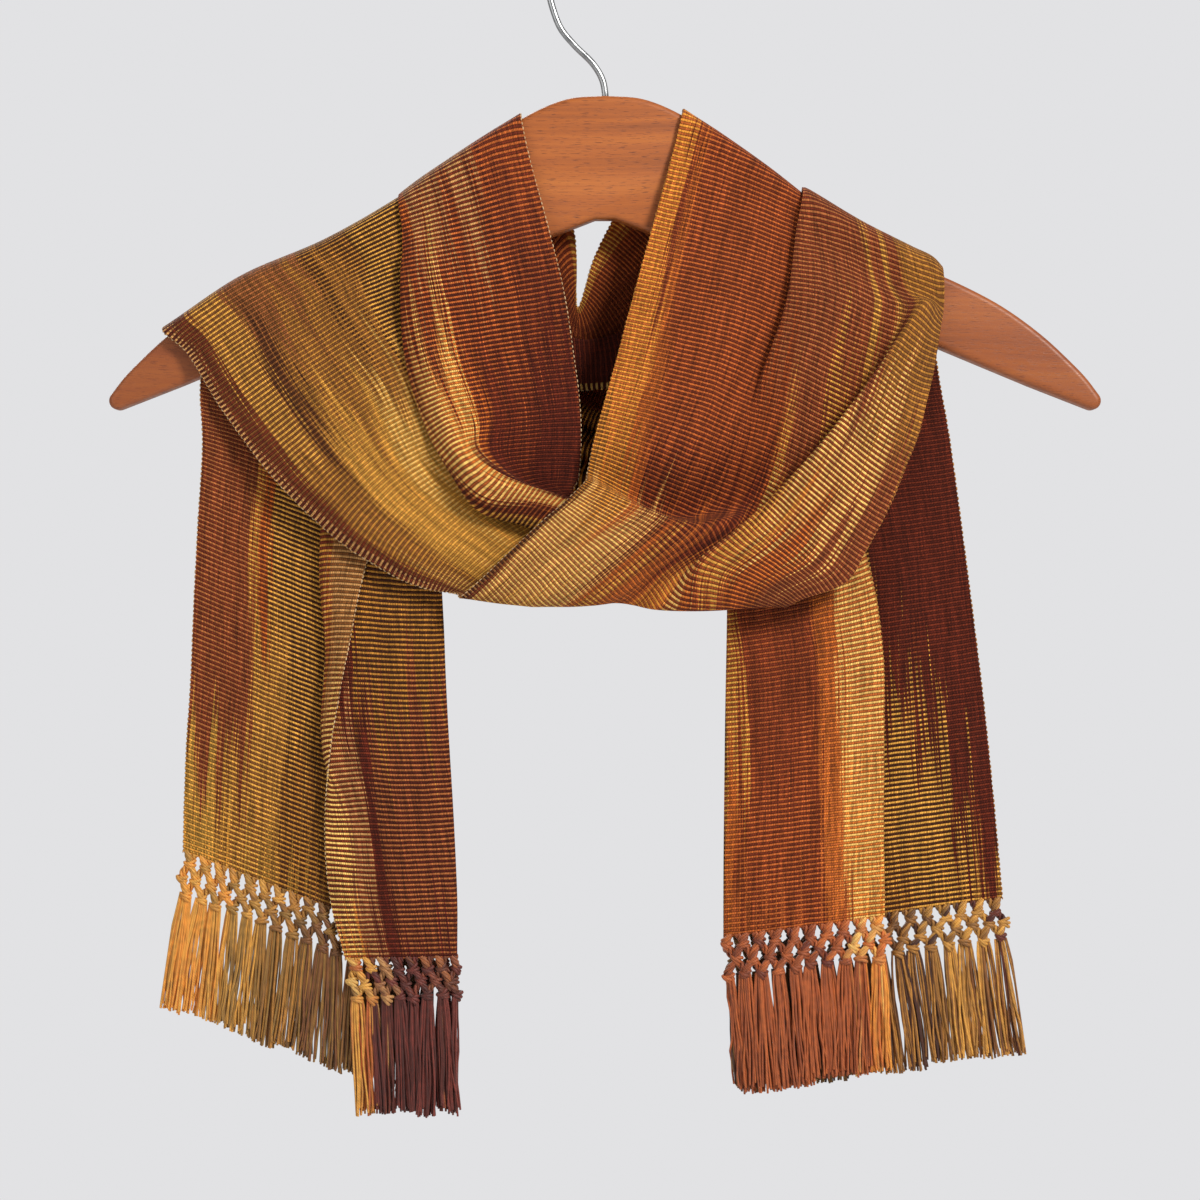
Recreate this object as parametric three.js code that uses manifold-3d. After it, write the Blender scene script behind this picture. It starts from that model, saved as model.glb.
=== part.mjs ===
// A hand-woven warp-striped scarf, wound round a flat wooden hanger. All sizes are in millimetres.
//
// Frame: the origin is the inside top of the hanger's hook, where a rail carries it. +X is to the
// right as seen from the front, +Z is up, and the front faces -Y. The board stands in the XZ plane.
//
// The scarf is one ribbon, built as a chain of cross sections from the fringe of its left end to the
// fringe of its right end. It hangs down in front on the left, passes over the left arm under
// everything else, crosses the back of the neck, comes over the right arm, falls in front, turns up in
// a half twist at the hem, rises to the left arm, crosses the back of the neck again and comes down in
// front on the right.
import * as THREE from "three";
import Module from "manifold-3d";
import { mergeVertices } from "three/addons/utils/BufferGeometryUtils.js";

const wasm = await Module();
wasm.setup();

// ---- driving dimensions ------------------------------------------------------------------------------
const CLOTH_THICKNESS = 1.2;
const SEAM_GAP = 0.3;
const ACROSS_PER_COLUMN = 2; // facets between two columns of a section
const ALONG_PER_ROW = 2; // facets between two sections

const BOARD_THICKNESS = 14;
const BOARD_EDGE_ROUND = 2.6;
const BOARD_EDGE_FACETS = 3;
const BOARD_FACETS_PER_POINT = 3;
const TIP_FACETS = 8;

const HOOK_HOLE_FACETS = 16;

const HOOK_WIRE = 3;
const HOOK_STEPS = 56;
const HOOK_FACETS_PER_QUARTER = 4;
const HOOK_LOOP_RADIUS = 25; // to the middle of the wire
const HOOK_TIP_ANGLE = -2; // degrees, level with the loop's middle on the open side
const HOOK_ARC_START = 200; // degrees, where the loop leaves the neck
const HOOK_ARC_POINTS = 14;
const HOOK_DEPTH_IN_WOOD = 24;
const HOOK_HOLE_CLEARANCE = 0.35;

const FRINGE_LENGTH = 70;
const FRINGE_THICKNESS = 1.6;
const FRINGE_STEPS = 3;
// How far the first and the last yarn of a fringe swing to the right on their way down.
const FRINGE_LEFT_SWING = [4, -10];
const FRINGE_RIGHT_SWING = [10, 3];

// The top outline of the board's right half, from the middle to the tip. The left half mirrors it.
const BOARD_TOP = [
  { x: 0, z: -72 },
  { x: 17, z: -73.5 },
  { x: 35, z: -81 },
  { x: 53, z: -93.5 },
  { x: 73, z: -108.5 },
  { x: 93, z: -124 },
  { x: 116, z: -137 },
  { x: 137, z: -147 },
  { x: 158, z: -156 },
  { x: 178, z: -166.5 },
  { x: 196, z: -179.5 },
  { x: 209, z: -191.5 },
  { x: 216, z: -198.8 },
  { x: 221.7, z: -206.3 },
];
// The round tip: the middle of its arc, and the angles where the arc leaves the top line and meets the
// underside.
const BOARD_TIP = { x: 218.6, z: -208.9, radius: 4, from: 40, to: -113 };
// Its underside's right half, from the tip to the notch in the middle.
const BOARD_UNDER = [
  { x: 190, z: -202 },
  { x: 148, z: -184.5 },
  { x: 60, z: -149.5 },
  { x: 16, z: -132 },
  { x: 4.5, z: -127.5 },
];

// The hook's route below its loop, from the wood upwards.
const HOOK_NECK = [
  { x: 0, z: -72 - HOOK_DEPTH_IN_WOOD },
  { x: 0, z: -70 },
  { x: -1.5, z: -63.5 },
  { x: -5.5, z: -57 },
  { x: -14, z: -48.5 },
  { x: -20, z: -41 },
];

// ---- the scarf's sections ----------------------------------------------------------------------------
// A section has nine points, from the edge that shows beside the neck on the right (gold edge) to the
// other edge. x and z place them, and out is how far they stand in front of the board's middle plane.
// An "over" row is worked out from the board: x places the points along an arm, lift is the height of
// the cloth over the wood, and lean is how far x moves as slanting cloth climbs to the top edge. It
// gives five sections, from the side it names first to the other side of the board.

// Left end, from the fringe up: the flap's edge, the flap's fold, the front layer, the fold at the
// right, the back layer and the outer edge.
const TAIL_LEFT = [
  { edge: [-116, -459], flap: null, fold: [-66.5, -458], outer: [-189, -411], back: 7, front: 12 },
  { edge: [-122.5, -433], flap: null, fold: [-66.5, -433], outer: [-188.5, -392], back: 7.5, front: 12.5 },
  { edge: [-125, -400], flap: null, fold: [-68, -400], outer: [-187.5, -365], back: 8, front: 13 },
  { edge: [-122, -362], flap: [-126, -362], fold: [-70, -362], outer: [-185.5, -335], back: 8.5, front: 14 },
  { edge: [-115, -322], flap: [-125, -321], fold: [-72, -318], outer: [-184, -300], back: 9, front: 14.5 },
  { edge: [-107, -284], flap: [-127, -281], fold: [-74, -272], outer: [-182, -262], back: 9.5, front: 15 },
  { edge: [-93, -242], flap: [-122, -240], fold: [-72, -228], outer: [-180, -228], back: 10, front: 14.5 },
  { edge: [-78, -196], flap: [-96, -196], fold: [-64, -180], outer: [-181, -203], back: 10, front: 13 },
];
// A hanging end's nine points: how far each lies from one fold to the next, and how far it stands off
// its layer. The first two lie on the flap where there is one, and otherwise in front.
const TAIL_ON_FLAP = [
  { share: 0, off: 3 },
  { share: 0, off: 1.2 },
];
const TAIL_WITHOUT_FLAP = [
  { share: 0, off: 0 },
  { share: 0.14, off: 0 },
];
const TAIL_FRONT = [
  { share: 0.4, off: 0.3 },
  { share: 0.85, off: 0.5 },
];
const TAIL_BACK = [
  { share: 0.1, off: -0.4 },
  { share: 0.4, off: 0.8 },
  { share: 0.72, off: -0.5 },
  { share: 1, off: 0.3 },
];

// How cloth turns over the board, from its face to the middle of its top edge. A section lies inset
// from the face and below the top edge. Spread and rise are the share of the cloth's height over the
// wood that moves it out and up, and slide the share of its lean that moves it along the edge.
const OVER_PROFILE = [
  { inset: 0, spread: 1, below: 13, rise: 0, slide: 0 },
  { inset: 1.2, spread: 0.9, below: 1, rise: 0.45, slide: 0.9 },
  { inset: 7, spread: 0, below: -0.4, rise: 1, slide: 1 },
];
const OVER_LEFT_UNDER = {
  x: [-48, -62, -76, -90, -104, -120, -138, -158, -178],
  lift: [1.2, 1.2, 1.2, 1.2, 1.2, 1.2, 1.2, 1.2, 1.2],
  lean: [0, 0, 0, 0, 0, 0, 0, 0, 0],
};
const NECK_INNER = [
  {
    at: "left of the neck",
    x: [-64, -72, -80, -88, -95, -103, -112, -122, -134],
    z: [-128, -141, -155, -163, -170, -177, -184, -192, -202],
    out: [-9.5, -13.5, -9.5, -13.5, -9.5, -13.5, -9.5, -13, -10.5],
  },
  {
    at: "nearing the middle",
    x: [-17.5, -22, -27, -32, -36, -39, -42, -46, -50],
    z: [-124, -140, -155, -167, -174, -181, -187, -196, -207],
    out: [-12, -12, -12.5, -13, -10, -9, -9.5, -11, -12],
  },
  {
    at: "middle of the neck",
    x: [-12.5, -11, -10, -9, -9, -8, -8, -7, -6],
    z: [-166, -173, -179, -184, -181, -186, -191, -197, -203],
    out: [-12, -12, -13, -13, -9, -8, -8.5, -10, -11],
  },
  {
    at: "right of the middle",
    x: [-5, 2, 9, 15, 17, 20, 23, 26, 28],
    z: [-144, -155, -167, -176, -175, -181, -187, -194, -202],
    out: [-12, -13, -15, -16, -12, -11, -11.5, -13, -14],
  },
  {
    at: "right of the neck",
    x: [7, 21, 35, 48, 58, 67, 75, 84, 92],
    z: [-121, -135, -148, -160, -167, -173, -179, -188, -198],
    out: [-15, -17, -18, -18.5, -18.5, -18.5, -18.5, -18.5, -18],
  },
];
const OVER_RIGHT_TOP = {
  x: [32, 50, 70, 95, 86, 115, 136, 146, 151.5],
  lift: [1.8, 3.2, 4, 3.4, 7, 7.4, 7, 6.4, 3.8],
  lean: [3, 4, 4, 4, 3, 3, 2, 1, 0],
};
const FRONT_RIGHT = [
  {
    at: "chest",
    x: [12.6, 36, 60, 87, 81, 109, 134, 142, 149.5],
    z: [-163.4, -164.3, -165, -163, -164, -163, -167, -167, -177],
    out: [17, 20.5, 21.5, 16, 22.5, 23.5, 20, 24.5, 17],
  },
  {
    at: "breast",
    x: [3, 26, 49, 69, 70, 92, 117, 118, 141.5],
    z: [-199.4, -201, -202, -199, -200, -198, -204, -201, -217],
    out: [21, 25.5, 27, 19.5, 23.5, 27, 20, 33, 19],
  },
  {
    at: "waist",
    x: [-5, 16, 38, 57, 62, 77, 102, 96, 129],
    z: [-228.6, -231, -232, -229, -230, -227, -235, -230, -250],
    out: [24.5, 29.5, 31.5, 24, 21, 25, 20, 38, 23],
  },
  {
    at: "dip behind the lap",
    x: [-7.7, 10.8, 28, 44, 51, 61, 79, 71, 115],
    z: [-241.7, -253, -260, -260, -259, -257, -259, -256, -277],
    out: [24, 24.5, 23, 19.5, 18.5, 18.5, 20, 41, 28],
  },
  {
    at: "lap's top fold",
    x: [-8.6, 11.7, 28, 40, 45, 52, 62, 57, 107],
    z: [-246, -257, -263.5, -267, -267.5, -267, -271, -268, -290],
    out: [30.5, 37, 40, 39, 37.5, 35.5, 32, 43.5, 31],
  },
  {
    at: "lap",
    x: [-35, -13.5, 4.5, 16, 20, 26, 34, 40, 87],
    z: [-270.5, -278.6, -284, -286, -286.5, -286, -287, -284, -298],
    out: [37, 42, 44, 42, 42, 41, 41, 44, 33],
  },
  {
    at: "hem",
    x: [-64, -39.6, -19.8, -4.5, 4.5, 12.5, 22, 40, 78],
    z: [-297, -300.2, -301, -300.2, -299.3, -300.2, -302, -302.9, -301],
    out: [30, 33, 34, 34, 33, 33, 36, 34, 27],
  },
];
const FRONT_LEFT = [
  {
    at: "behind the hem",
    x: [-65.5, -43, -25, -10.8, -1, 9, 23.9, 46, 78],
    z: [-295.4, -294.8, -292, -288.5, -285.8, -283, -281, -283, -291],
    out: [25, 22.5, 21, 20, 20, 20, 20, 20, 20.5],
  },
  {
    at: "behind the lap",
    x: [-74.7, -55, -42, -26, -32, -24, -8, 6, 28],
    z: [-294.3, -284, -276.8, -269, -266.5, -258.6, -257.5, -261, -270.5],
    out: [24, 25, 23, 19.5, 26, 28, 20, 17.5, 16.5],
  },
  {
    at: "in the roll",
    x: [-90, -75, -63, -42, -56, -52, -46.5, -35, -14],
    z: [-289.5, -272, -262, -253, -259, -251, -242.5, -246, -250],
    out: [24, 26.5, 22.5, 17.5, 27, 36, 33, 18.5, 16],
  },
  {
    at: "above the roll",
    x: [-104, -87, -76, -52, -68, -64, -57, -36, -12],
    z: [-281.5, -263, -250, -236, -243, -237, -231.5, -239, -244],
    out: [23, 26, 22.5, 17.3, 27, 34.5, 30, 18.5, 16],
  },
  {
    at: "breast",
    x: [-118, -97.7, -84, -58, -78, -71, -54, -32.4, -11],
    z: [-272.3, -253.4, -238, -222, -225, -219.5, -218, -215, -216.5],
    out: [22, 26, 23, 16.8, 25, 31, 26, 20.5, 17],
  },
  {
    at: "chest",
    x: [-145, -122.4, -98, -70, -88.5, -80, -60, -37, -14.4],
    z: [-246.6, -224, -200, -186, -191.5, -189, -190, -186.8, -188],
    out: [20, 24, 22, 16.6, 23, 28, 25, 20.5, 16.5],
  },
  {
    at: "shoulder",
    x: [-171, -144, -113, -76, -91, -83, -63, -41, -19.8],
    z: [-212.9, -191, -171.5, -155, -159, -157, -157.5, -155.3, -155.3],
    out: [16, 19.5, 19, 15.2, 21.5, 24, 22.5, 19, 16],
  },
];
const OVER_LEFT_TOP = {
  x: [-188, -156, -119, -77, -90.5, -83, -69.5, -52, -35.5],
  lift: [4.2, 5, 4.4, 3.4, 6.2, 6.8, 5.4, 4, 2],
  lean: [-10, -9, -7, -3, -2, -2, -2.5, -3, -2.5],
};
const NECK_OUTER = [
  {
    at: "left shoulder blade",
    x: [-158, -138, -120, -104, -89, -75, -62, -48, -34],
    z: [-214, -200, -188, -177, -167, -158, -150, -142, -135],
    out: [-17, -18.5, -17, -19, -17, -19, -17, -18.5, -16.5],
  },
  {
    at: "left of the neck",
    x: [-108, -94, -82, -71, -61, -52, -43, -34, -25],
    z: [-240, -228, -217, -207, -197, -187, -177, -166, -155],
    out: [-17, -21.5, -17, -22, -17.5, -22, -17.5, -21.5, -17],
  },
  {
    at: "middle of the neck",
    x: [-32, -28, -25, -22, -19, -17, -14, -11, -8],
    z: [-256, -247, -239, -232, -225, -218, -211, -203, -192],
    out: [-14.5, -21, -15, -23, -15.5, -23, -16, -22, -18],
  },
  {
    at: "under the other strand",
    x: [36, 34, 33, 32, 31, 30, 29, 28, 27],
    z: [-258, -251, -244, -238, -232, -226, -220, -214, -208],
    out: [-9.5, -16, -10, -16, -10, -16, -10.5, -15, -11],
  },
  {
    at: "right shoulder blade",
    x: [103, 98, 94, 90, 86, 81, 76, 68, 58],
    z: [-240, -231, -222, -213, -205, -197, -190, -182, -172],
    out: [-9.5, -13.5, -9.5, -13.5, -9.5, -13.5, -9.5, -13, -10],
  },
];
const OVER_RIGHT_UNDER = {
  x: [146, 137, 128, 118, 107, 95, 83, 70, 56],
  lift: [1.2, 1.2, 1.2, 1.2, 1.2, 1.2, 1.2, 1.2, 1.2],
  lean: [0, 0, 0, 0, 0, 0, 0, 0, 0],
};
// Right end, down to the fringe. Its outer edge comes first here, and it has no flap.
const TAIL_RIGHT = [
  { edge: [86, -196], flap: null, fold: [62, -180], outer: [148, -190], back: 10, front: 13.5 },
  { edge: [103, -242], flap: null, fold: [56, -236], outer: [154, -226], back: 10, front: 14.5 },
  { edge: [118, -284], flap: null, fold: [55, -284], outer: [159, -262], back: 9.5, front: 15 },
  { edge: [124, -322], flap: null, fold: [54.5, -325], outer: [164, -300], back: 9, front: 14.5 },
  { edge: [124.5, -362], flap: null, fold: [54, -368], outer: [169, -340], back: 8.5, front: 14 },
  { edge: [124.5, -400], flap: null, fold: [53.5, -408], outer: [173, -378], back: 8, front: 13 },
  { edge: [125, -440], flap: null, fold: [53.5, -449], outer: [178, -432], back: 7, front: 12 },
];

// ---- shapes ------------------------------------------------------------------------------------------
const vector = (x, y, z) => new THREE.Vector3(x, y, z);
const mix = (a, b, t) => a + (b - a) * t;
const spline = (points) => new THREE.CatmullRomCurve3(points, false, "centripetal");

// The board's top outline from the middle to the right tip, as a smooth line.
const boardTopLine = spline(BOARD_TOP.map((p) => vector(p.x, 0, p.z))).getPoints(
  (BOARD_TOP.length - 1) * BOARD_FACETS_PER_POINT,
);

// The height of the board's top edge at x.
function boardTop(x) {
  const reach = Math.min(Math.abs(x), BOARD_TOP[BOARD_TOP.length - 1].x - 0.001);
  const next = boardTopLine.findIndex((p) => p.x > reach);
  const [a, b] = [boardTopLine[next - 1], boardTopLine[next]];
  return mix(a.z, b.z, (reach - a.x) / (b.x - a.x));
}

// A free section from a table row.
const freeSection = (row) => row.x.map((x, i) => vector(x, -row.out[i], row.z[i]));

// Five sections of cloth that lies over the board, from the front (side -1) or the back (side 1) to
// the other side.
function overBoard({ x, lift, lean }, side) {
  const section = (p, face) =>
    x.map((px, i) => {
      const height = lift[i] + CLOTH_THICKNESS / 2;
      const depth = BOARD_THICKNESS / 2 - p.inset + p.spread * height;
      const slid = px + p.slide * lean[i];
      return vector(slid, face * depth, boardTop(slid) - p.below + p.rise * height);
    });
  const [hanging, shoulder, top] = OVER_PROFILE;
  return [
    section(hanging, side),
    section(shoulder, side),
    section(top, 1),
    section(shoulder, -side),
    section(hanging, -side),
  ];
}

// A section of a hanging end, from its edge in front to its outer edge.
function tailSection({ edge, flap, fold, outer, back, front }) {
  const place = ([ax, az], [bx, bz], share, out) => vector(mix(ax, bx, share), -out, mix(az, bz, share));
  const onFlap = (p, k) => place(k ? flap : edge, fold, p.share, front + p.off);
  const inFront = (p) => place(edge, fold, p.share, front + p.off);
  return [
    ...(flap ? TAIL_ON_FLAP.map(onFlap) : TAIL_WITHOUT_FLAP.map(inFront)),
    ...TAIL_FRONT.map((p) => place(flap ?? edge, fold, p.share, front + p.off)),
    place(fold, outer, 0, (back + front) / 2),
    ...TAIL_BACK.map((p) => place(fold, outer, p.share, back + p.off)),
  ];
}

// The whole ribbon, as named stretches of sections. A stretch starts at the last section of the one
// before.
const STRETCHES = [
  {
    name: "end_left",
    sections: [...TAIL_LEFT.map(tailSection), ...overBoard(OVER_LEFT_UNDER, -1).slice(0, 3)],
  },
  {
    name: "neck_inner",
    sections: [
      ...overBoard(OVER_LEFT_UNDER, -1).slice(3),
      ...NECK_INNER.map(freeSection),
      ...overBoard(OVER_RIGHT_TOP, 1).slice(0, 3),
    ],
  },
  {
    name: "front_right",
    sections: [...overBoard(OVER_RIGHT_TOP, 1).slice(3), ...FRONT_RIGHT.map(freeSection)],
  },
  {
    name: "front_left",
    sections: [...FRONT_LEFT.map(freeSection), ...overBoard(OVER_LEFT_TOP, -1).slice(0, 3)],
  },
  {
    name: "neck_outer",
    sections: [
      ...overBoard(OVER_LEFT_TOP, -1).slice(3),
      ...NECK_OUTER.map(freeSection),
      ...overBoard(OVER_RIGHT_UNDER, 1).slice(0, 3),
    ],
  },
  {
    name: "end_right",
    sections: [
      ...overBoard(OVER_RIGHT_UNDER, 1).slice(3),
      ...TAIL_RIGHT.map((row) => tailSection(row).reverse()),
    ],
  },
];

// Smooth points of the whole ribbon, as lines[along][across], with the first line of each stretch.
function ribbonGrid() {
  const sections = STRETCHES.flatMap((s) => s.sections);
  const across = (sections[0].length - 1) * ACROSS_PER_COLUMN;
  const fine = sections.map((s) => spline(s).getPoints(across));
  const along = (sections.length - 1) * ALONG_PER_ROW;
  const columns = fine[0].map((_, j) => spline(fine.map((row) => row[j])).getPoints(along));
  const lines = columns[0].map((_, i) => columns.map((column) => column[i]));
  let count = 0;
  const starts = STRETCHES.map((s) => {
    const start = Math.max(0, count - 1) * ALONG_PER_ROW;
    count += s.sections.length;
    return start;
  });
  return { lines, starts: [...starts, along] };
}

// The unit normal at each point of the grid.
function gridNormals(lines) {
  const { clamp } = THREE.MathUtils;
  const at = (i, j) => lines[clamp(i, 0, lines.length - 1)][clamp(j, 0, lines[0].length - 1)];
  return lines.map((row, i) =>
    row.map((_, j) => {
      const alongDirection = at(i + 1, j).clone().sub(at(i - 1, j));
      const acrossDirection = at(i, j + 1).clone().sub(at(i, j - 1));
      return acrossDirection.cross(alongDirection).normalize();
    }),
  );
}

// A closed wall: the grid's points moved out by half a thickness to each side, with a rim.
function wall(lines, normals, thickness) {
  const rows = lines.length;
  const columns = lines[0].length;
  const positions = [];
  for (const side of [1, -1]) {
    const offset = (side * thickness) / 2;
    lines.forEach((row, i) =>
      row.forEach((p, j) => positions.push(...p.clone().addScaledVector(normals[i][j], offset).toArray())),
    );
  }
  const index = (side, i, j) => side * rows * columns + i * columns + j;
  const triangles = [];
  const quad = (a, b, c, d) => triangles.push(a, b, c, a, c, d);
  for (let i = 0; i < rows - 1; i++) {
    for (let j = 0; j < columns - 1; j++) {
      quad(index(0, i, j), index(0, i, j + 1), index(0, i + 1, j + 1), index(0, i + 1, j));
      quad(index(1, i, j), index(1, i + 1, j), index(1, i + 1, j + 1), index(1, i, j + 1));
    }
  }
  for (let i = 0; i < rows - 1; i++) {
    quad(index(0, i, 0), index(0, i + 1, 0), index(1, i + 1, 0), index(1, i, 0));
    const last = columns - 1;
    quad(index(0, i + 1, last), index(0, i, last), index(1, i, last), index(1, i + 1, last));
  }
  for (let j = 0; j < columns - 1; j++) {
    quad(index(0, 0, j + 1), index(0, 0, j), index(1, 0, j), index(1, 0, j + 1));
    const last = rows - 1;
    quad(index(0, last, j), index(0, last, j + 1), index(1, last, j + 1), index(1, last, j));
  }
  const geometry = new THREE.BufferGeometry();
  geometry.setAttribute("position", new THREE.Float32BufferAttribute(positions, 3));
  geometry.setIndex(triangles);
  geometry.computeVertexNormals();
  return geometry;
}

// One stretch of the ribbon, cut back by half the seam gap at both ends.
function stretchGeometry(grid, normals, from, to) {
  const lines = grid.slice(from, to + 1).map((row) => row.map((p) => p.clone()));
  const trim = (end, next) =>
    lines[end].forEach((p, j) => {
      const step = lines[next][j].clone().sub(p);
      p.addScaledVector(step.normalize(), SEAM_GAP / 2);
    });
  trim(0, 1);
  trim(lines.length - 1, lines.length - 2);
  return wall(lines, normals.slice(from, to + 1), CLOTH_THICKNESS);
}

// The plain solid of a fringe: the ribbon's end line, carried on straight down with its swing.
function fringeGeometry(endLine, lineBefore, swing) {
  const lines = Array.from({ length: FRINGE_STEPS + 1 }, (_, k) =>
    endLine.map((p, j) => {
      const onward = p.clone().sub(lineBefore[j]).normalize();
      const start = p.clone().addScaledVector(onward, SEAM_GAP);
      const drop = (FRINGE_LENGTH * k) / FRINGE_STEPS;
      const drift = (mix(swing[0], swing[1], j / (endLine.length - 1)) * k) / FRINGE_STEPS;
      return vector(start.x + drift, start.y, start.z - drop);
    }),
  );
  const normals = gridNormals(lines);
  return wall(lines, normals, FRINGE_THICKNESS);
}

function solidOf(geometry) {
  const bare = geometry.clone();
  bare.deleteAttribute("normal");
  bare.deleteAttribute("uv");
  const merged = mergeVertices(bare, 1e-4);
  return new wasm.Manifold(
    new wasm.Mesh({
      numProp: 3,
      vertProperties: merged.attributes.position.array,
      triVerts: new Uint32Array(merged.index.array),
    }),
  );
}

function geometryOf(solid) {
  const mesh = solid.getMesh();
  const geometry = new THREE.BufferGeometry();
  geometry.setAttribute("position", new THREE.BufferAttribute(mesh.vertProperties, 3));
  geometry.setIndex(new THREE.BufferAttribute(mesh.triVerts, 1));
  geometry.computeVertexNormals();
  return geometry;
}

// Points round the board's right tip, between the top line and the underside.
function tipArc() {
  const angles = Array.from({ length: TIP_FACETS }, (_, k) =>
    THREE.MathUtils.degToRad(mix(BOARD_TIP.from, BOARD_TIP.to, (k + 1) / TIP_FACETS)),
  );
  const { x, z, radius } = BOARD_TIP;
  return angles.map((angle) => vector(x + radius * Math.cos(angle), 0, z + radius * Math.sin(angle)));
}

// The board: its outline extruded through its thickness, with rounded edges and a hole for the hook.
function boardGeometry() {
  const inset = BOARD_EDGE_ROUND;
  const right = [...boardTopLine, ...tipArc(), ...BOARD_UNDER].map((p) => new THREE.Vector2(p.x, p.z));
  const left = right.slice(1).map((p) => new THREE.Vector2(-p.x, p.y)).reverse();
  const outline = new THREE.Shape([...right, ...left]);
  const geometry = new THREE.ExtrudeGeometry(outline, {
    depth: BOARD_THICKNESS - 2 * inset,
    bevelEnabled: true,
    bevelThickness: inset,
    bevelSize: inset,
    bevelOffset: -inset,
    bevelSegments: BOARD_EDGE_FACETS,
    steps: 1,
  });
  geometry.translate(0, 0, -BOARD_THICKNESS / 2 + inset);
  geometry.rotateX(Math.PI / 2);
  const holeRadius = HOOK_WIRE / 2 + HOOK_HOLE_CLEARANCE;
  const hole = new THREE.CylinderGeometry(holeRadius, holeRadius, 2 * HOOK_DEPTH_IN_WOOD, HOOK_HOLE_FACETS);
  hole.rotateX(Math.PI / 2);
  hole.translate(0, 0, BOARD_TOP[0].z);
  return geometryOf(solidOf(geometry).subtract(solidOf(hole)));
}

// The hook: round wire along its neck and round its loop, whose inside top is the origin.
function hookGeometry() {
  const middle = HOOK_WIRE / 2 - HOOK_LOOP_RADIUS;
  const points = HOOK_NECK.map((p) => vector(p.x, 0, p.z));
  for (let k = 0; k <= HOOK_ARC_POINTS; k++) {
    const angle = THREE.MathUtils.degToRad(mix(HOOK_ARC_START, HOOK_TIP_ANGLE, k / HOOK_ARC_POINTS));
    points.push(vector(HOOK_LOOP_RADIUS * Math.cos(angle), 0, middle + HOOK_LOOP_RADIUS * Math.sin(angle)));
  }
  const section = new THREE.Shape();
  section.absarc(0, 0, HOOK_WIRE / 2, 0, 2 * Math.PI, false);
  return new THREE.ExtrudeGeometry(section, {
    extrudePath: spline(points),
    steps: HOOK_STEPS,
    curveSegments: HOOK_FACETS_PER_QUARTER,
  });
}

// ---- the object --------------------------------------------------------------------------------------
const WOOD = new THREE.MeshStandardMaterial({ color: 0xa8623a, roughness: 0.5, metalness: 0 });
const STEEL = new THREE.MeshStandardMaterial({ color: 0xb9bcbd, roughness: 0.3, metalness: 1 });
const CLOTH = new THREE.MeshStandardMaterial({ color: 0x8f5226, roughness: 0.85, metalness: 0 });
const YARN = new THREE.MeshStandardMaterial({ color: 0x9a5a26, roughness: 0.8, metalness: 0 });

const scarf = new THREE.Group();

function add(name, geometry, material) {
  const mesh = new THREE.Mesh(geometry, material);
  mesh.name = name;
  scarf.add(mesh);
}

add("hanger_board", boardGeometry(), WOOD);
add("hanger_hook", hookGeometry(), STEEL);

const ribbon = ribbonGrid();
const normals = gridNormals(ribbon.lines);
STRETCHES.forEach((stretch, k) =>
  add(stretch.name, stretchGeometry(ribbon.lines, normals, ribbon.starts[k], ribbon.starts[k + 1]), CLOTH),
);
const [firstLine, secondLine] = ribbon.lines;
const [lineBeforeLast, lastLine] = ribbon.lines.slice(-2);
add("fringe_left", fringeGeometry(firstLine, secondLine, FRINGE_LEFT_SWING), YARN);
add("fringe_right", fringeGeometry(lastLine, lineBeforeLast, FRINGE_RIGHT_SWING), YARN);

export default scarf;
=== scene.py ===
"""A hand-woven warp-striped scarf with knotted fringes, wound round a flat wooden hanger."""

import math
import random

import bpy
import numpy as np
from mathutils import Matrix, Vector


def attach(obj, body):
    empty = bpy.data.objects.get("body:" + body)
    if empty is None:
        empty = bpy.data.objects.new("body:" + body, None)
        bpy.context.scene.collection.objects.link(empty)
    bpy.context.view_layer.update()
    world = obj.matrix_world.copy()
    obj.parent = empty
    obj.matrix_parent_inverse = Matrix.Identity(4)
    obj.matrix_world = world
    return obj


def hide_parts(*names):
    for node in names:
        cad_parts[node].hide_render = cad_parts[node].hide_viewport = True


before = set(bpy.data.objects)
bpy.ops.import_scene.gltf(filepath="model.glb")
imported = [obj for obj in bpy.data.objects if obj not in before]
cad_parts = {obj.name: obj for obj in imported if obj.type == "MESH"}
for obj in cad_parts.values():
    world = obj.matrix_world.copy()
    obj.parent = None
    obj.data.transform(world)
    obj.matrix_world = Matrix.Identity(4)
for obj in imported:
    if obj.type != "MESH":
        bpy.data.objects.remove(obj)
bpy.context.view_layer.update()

# ---- driving sizes, in millimetres until MM turns them into metres ------------------------------------
MM = 0.001
CLOTH_WIDTH = 195
CLOTH_THICKNESS = 0.9
WALL_IN_FRAME = 1.2  # the CAD wall's thickness, which sets how far layers stand apart
CELLS_PER_COLUMN = 9
CELLS_PER_ROW = 10

RIB_PAIR = 2.2  # one light rib and one dark rib
YARN_PITCH = 0.75
WEFT_TURN = {"length": 1.5, "radius": 0.34, "outset": 0.15}
BEAD_SIZES = (0.75, 1.2)
RIPPLE_HEIGHT = 0.25
SELVEDGE_WAVE = 0.35
SELVEDGE_REACH = 6

BOARD_THICKNESS = 14
BOARD_EDGE_ROUND = 2.6
BOARD_EDGE_STEPS = 6
TIP_FACETS = 16
HOOK_WIRE = 3
HOOK_LOOP_RADIUS = 25
HOOK_TIP_ANGLE = -2
HOOK_ARC_START = 200
HOOK_ARC_POINTS = 14
HOOK_STEPS = 220
HOOK_SIDES = 20
HOOK_DEPTH_IN_WOOD = 24

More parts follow.
